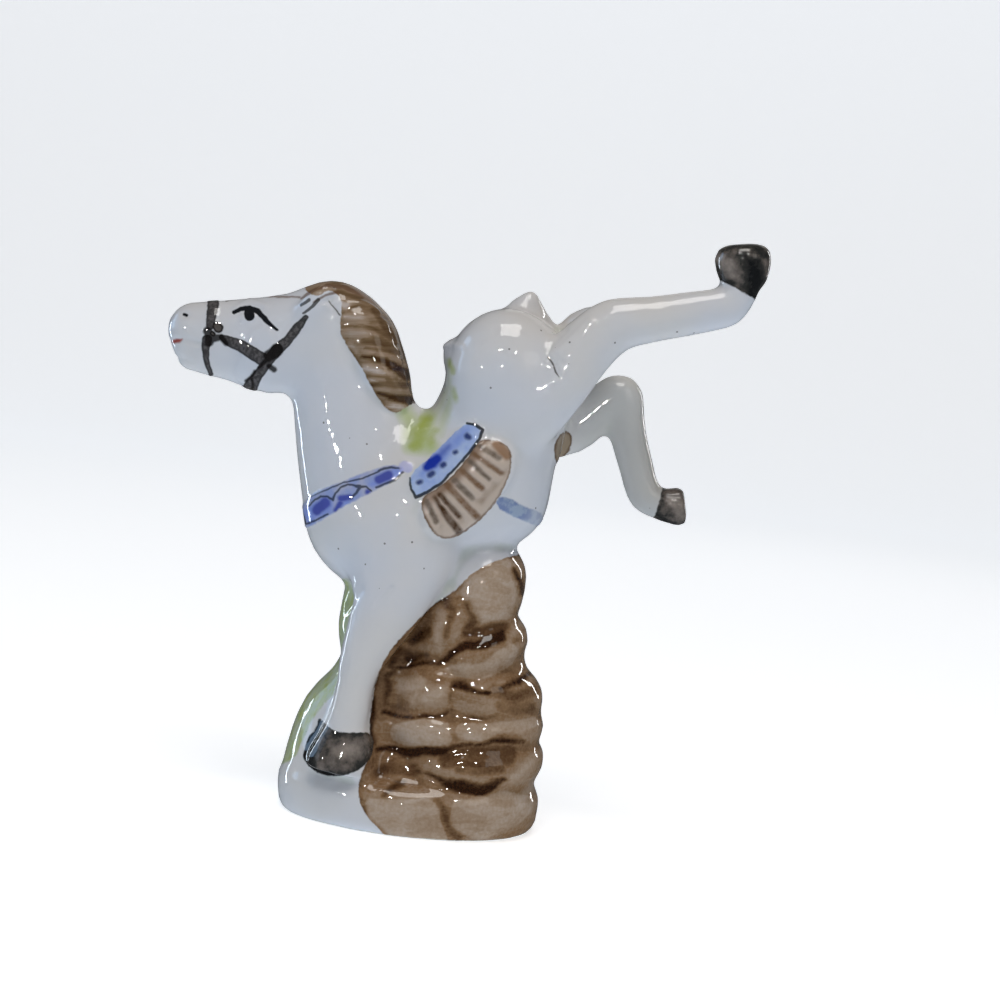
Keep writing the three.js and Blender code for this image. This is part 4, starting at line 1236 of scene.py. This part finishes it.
# %% Fine lines of the hair and the ear, and painted shade in the haunch crease
HAIR_BROWN = paint(96, 72, 56)
LINE_BLACK = paint(44, 40, 38)
HAIR_LINES = [
    [(243, 297, 0.7), (260, 295.4, 1), (277, 297, 0.9), (300, 297, 0.8)],
    [(301, 298.4, 1), (313, 290.4, 1.4), (328, 285.4, 1.6), (343, 287, 1.8), (359, 293.4, 2)],
    [(359, 293.4, 2), (376, 302, 2.2)], [(314, 302, 0.9), (326, 295, 1.2), (338, 291.6, 1.4)],
]
DARK_LINES_AND_CREASE_SHADE = [
    [(301, 305, 1.4), (309, 300, 1.7)], [(303.4, 313.4, 1.1), (312.6, 306.6, 1.7), (318, 300, 2)],
    [(226, 300.6, 0.9), (241, 298, 1.1)], [(329, 301.6, 0.5), (340, 315, 0.7)],
    # Painted shade: this line darkens the crease where the thigh meets the haunch.
    [(548, 357, 0.7), (553, 364, 0.9), (556, 372, 0.8), (559, 377, 0.4)],
]
base = laid(base, brushed(-1, 0.8, *HAIR_LINES), 0.75, HAIR_BROWN)
base = laid(base, brushed(-0.7, 0.6, *DARK_LINES_AND_CREASE_SHADE), 0.85, LINE_BLACK)
print("fine lines:", len(HAIR_LINES), "brown and", len(DARK_LINES_AND_CREASE_SHADE), "black")

# %% [markdown]
# ## Hooves, glaze and the bare sole
#
# The hooves are black, rubbed thin in the middle. Over everything lies the glaze. A coat in the Principled
# shader is exactly that: a clear smooth layer over a softer one. Its surface is not quite even, so a weak
# bump bends the reflections. The wiped rim below has no glaze, so its coat is taken away by a mask.

# %% Hooves and sole
HOOF_MIDDLE = 0.4
HOOF_HOLLOW = 0.2
HOOF_STREAK = 0.9
HOOF_WAVES = 620
HOOF_GREYS = [
    (0.0, paint(26, 27, 28)), (0.3, paint(50, 49, 47)), (0.6, paint(98, 90, 84)), (1.0, paint(132, 122, 114)),
]
BARE_CLAY = paint(178, 172, 162)
hoof_tone = tone("hoof_dark", "hoof_worn_and_glint", HOOF_MIDDLE, HOOF_HOLLOW, HOOF_STREAK, HOOF_WAVES)
hoof_mask = rise(tree, calc(tree, "MULTIPLY_ADD", shift, 0.2, stored("hoof")), -0.1, 0.25)
base = cover(tree, hoof_mask, base, ramp(hoof_tone, *HOOF_GREYS))
bare = stored("biscuit")
base = cover(tree, bare, base, BARE_CLAY)

# %% Glaze
PAINT_ROUGHNESS = 0.32
CLAY_ROUGHNESS = 0.77
GLAZE_ROUGHNESS = 0.03
GLAZE_IOR = 1.52
BODY_IOR = 1.45
BUMP_HEIGHT = 0.17 * MM
LONG_WAVES = 95
SHORT_WAVES = 420
SHORT_SHARE = 0.22
shader = node(tree, "ShaderNodeBsdfPrincipled")
output = node(tree, "ShaderNodeOutputMaterial")
tree.links.new(shader.outputs["BSDF"], output.inputs["Surface"])
tree.links.new(base, shader.inputs["Base Color"])
under_glaze = calc(tree, "MULTIPLY_ADD", bare, CLAY_ROUGHNESS - PAINT_ROUGHNESS, PAINT_ROUGHNESS)
tree.links.new(under_glaze, shader.inputs["Roughness"])
glazed = calc(tree, "SUBTRACT", 1.0, bare)
tree.links.new(glazed, shader.inputs["Coat Weight"])
shader.inputs["Coat Roughness"].default_value = GLAZE_ROUGHNESS
shader.inputs["Coat IOR"].default_value = GLAZE_IOR
shader.inputs["IOR"].default_value = BODY_IOR
shader.inputs["Specular IOR Level"].default_value = 0
long_part = calc(tree, "MULTIPLY", noise(LONG_WAVES, 2), 1 - SHORT_SHARE)
waves = calc(tree, "MULTIPLY_ADD", noise(SHORT_WAVES, 2), SHORT_SHARE, long_part)
bump = node(tree, "ShaderNodeBump", None, {"Strength": 1, "Distance": BUMP_HEIGHT, "Height": waves})
tree.links.new(bump.outputs["Normal"], shader.inputs["Normal"])
tree.links.new(bump.outputs["Normal"], shader.inputs["Coat Normal"])
horse.data.materials.append(porcelain)
print("material nodes:", len(tree.nodes))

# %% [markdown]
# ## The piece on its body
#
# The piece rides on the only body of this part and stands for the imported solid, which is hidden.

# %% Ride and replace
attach(horse, "root")
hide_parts("kicking_horse")
horse.data.calc_loop_triangles()
print("triangles:", len(horse.data.loop_triangles))

# %% [markdown]
# ## The sheet of paper
#
# The part stands on a plain pale sheet that curves up behind it, as in a small studio. The sheet glows a
# little, so that it stays white to the camera. A Light Path node gives the other rays a weaker and bluer
# glow, which keeps the shaded sides of the porcelain from going flat. Reflections leave the sheet out,
# because a white floor in the glaze would veil the paint.

# %% Floor
FLOOR_SIDE = 3.0
WALL_HEIGHT = 1.6
CURVE_RADIUS = 0.6
CURVE_STEPS = 20
bpy.ops.object.select_all(action="DESELECT")
bpy.ops.mesh.primitive_plane_add(size=FLOOR_SIDE, location=(0, 0, 0))
floor = bpy.context.object
floor.name = "floor_sheet"
bpy.ops.object.mode_set(mode="EDIT")
bpy.ops.mesh.select_all(action="DESELECT")
bpy.ops.object.mode_set(mode="OBJECT")
for side in floor.data.edges:
    side.select = all(floor.data.vertices[v].co.y > 0 for v in side.vertices)
bpy.ops.object.mode_set(mode="EDIT")
bpy.ops.mesh.select_mode(type="EDGE")
bpy.ops.mesh.extrude_region_move(TRANSFORM_OT_translate={"value": (0, 0, WALL_HEIGHT)})
bpy.ops.mesh.select_all(action="DESELECT")
bpy.ops.object.mode_set(mode="OBJECT")
for side in floor.data.edges:
    heights = [floor.data.vertices[v].co.z for v in side.vertices]
    depths = [floor.data.vertices[v].co.y for v in side.vertices]
    side.select = max(heights) < WALL_HEIGHT / 2 and min(depths) > 0
bpy.ops.object.mode_set(mode="EDIT")
bpy.ops.mesh.bevel(offset=CURVE_RADIUS, segments=CURVE_STEPS)
bpy.ops.object.mode_set(mode="OBJECT")
bpy.ops.object.shade_smooth()
print("floor sheet:", len(floor.data.polygons), "faces")

# %% Paper
PAPER_GREY = (0.86, 0.86, 0.87, 1)
PAPER_WHITE = (0.9, 0.9, 0.9, 1)
PAPER_GRAIN = 900
PAPER_ROUGHNESS = 0.85
GLOW_TO_CAMERA = (0.99, 0.99, 1.0, 1)
GLOW_TO_OBJECT = (0.64, 0.81, 1.0, 1)
PAPER_GLOW = 0.62
PAPER_LIGHT = 0.5
paper = bpy.data.materials.new("pale_paper")
paper.use_nodes = True
paper_tree = paper.node_tree
paper_shader = paper_tree.nodes["Principled BSDF"]
paper_shader.inputs["Roughness"].default_value = PAPER_ROUGHNESS
paper_place = node(paper_tree, "ShaderNodeTexCoord").outputs["Object"]
paper_inputs = {"Vector": paper_place, "Scale": PAPER_GRAIN}
paper_noise = node(paper_tree, "ShaderNodeTexNoise", None, paper_inputs).outputs["Fac"]
paper_colour = cover(paper_tree, paper_noise, PAPER_GREY, PAPER_WHITE)
paper_tree.links.new(paper_colour, paper_shader.inputs["Base Color"])
seen = node(paper_tree, "ShaderNodeLightPath").outputs["Is Camera Ray"]
glow_colour = cover(paper_tree, seen, GLOW_TO_OBJECT, GLOW_TO_CAMERA)
glow = calc(paper_tree, "MULTIPLY_ADD", seen, PAPER_GLOW - PAPER_LIGHT, PAPER_LIGHT)
paper_tree.links.new(glow_colour, paper_shader.inputs["Emission Color"])
paper_tree.links.new(glow, paper_shader.inputs["Emission Strength"])
floor.data.materials.append(paper)
floor.visible_glossy = False

# %% [markdown]
# ## Lights
#
# A large soft light on the left gives the bluish side, a wide one above and two weak fills light the rest.
# Glint lamps are seen only as reflections: a tall sheen, a bar and a strip that draw the light lines along
# the edges, and small square ones that give the white sparks of wet-looking glaze.

# %% Lights
TARGET = Vector((0, 0, 65)) * MM


def lamp(name, place_mm, sides_mm, watts, colour, glint=False):
    """A rectangular lamp that faces the figurine. A glint lamp is only seen as a reflection in the glaze."""
    bpy.ops.object.light_add(type="AREA", location=Vector(place_mm) * MM)
    made = bpy.context.object
    made.name = name
    made.rotation_euler = (TARGET - made.location).to_track_quat("-Z", "Y").to_euler()
    made.data.shape = "RECTANGLE"
    made.data.size = sides_mm[0] * MM
    made.data.size_y = sides_mm[1] * MM
    made.data.energy = watts
    made.data.color = colour
    made.visible_diffuse = not glint


WINDOW_BLUE = (0.34, 0.63, 1.0)
SHEEN_BLUE = (0.45, 0.68, 1.0)
BAR_BLUE = (0.75, 0.87, 1.0)
CEILING_WARM = (1.0, 0.97, 0.93)
FILL_WARM = (1.0, 0.93, 0.84)
SPARK_WARM = (1.0, 0.98, 0.95)
PLAIN = (1.0, 1.0, 1.0)
lamp("window_left", (-1100, -160, 400), (660, 660), 0.75, WINDOW_BLUE)
lamp("window_sheen", (-600, 120, 260), (260, 420), 0.8, SHEEN_BLUE, glint=True)
lamp("ceiling", (20, -270, 760), (380, 380), 2.5, CEILING_WARM)
lamp("right_fill", (520, -560, 420), (300, 300), 0.35, FILL_WARM)
lamp("back_fill", (160, 620, 420), (420, 420), 0.2, PLAIN)
lamp("edge_light", (540, 520, 240), (36, 420), 0.7, PLAIN, glint=True)
SPARK_SIDE = 20
SPARK_WATTS = 0.38
SPARKS = [(-150, -560, 520), (-105, -570, 530), (190, -600, 470), (-430, -470, 150), (-20, -640, 210)]
for number, spot in enumerate(SPARKS):
    lamp(f"spark_{number}", spot, (SPARK_SIDE, SPARK_SIDE), SPARK_WATTS, SPARK_WARM, glint=True)
lamp("window_bar", (-560, 300, 40), (60, 320), 0.8, BAR_BLUE, glint=True)

# %% World
ROOM_COLOUR = (1.0, 0.99, 0.97, 1)
ROOM_LIGHT = 0.08
world = bpy.data.worlds.new("pale_room")
bpy.context.scene.world = world
world.use_nodes = True
world.node_tree.nodes["Background"].inputs["Color"].default_value = ROOM_COLOUR
world.node_tree.nodes["Background"].inputs["Strength"].default_value = ROOM_LIGHT
bpy.context.scene.view_settings.view_transform = "Standard"
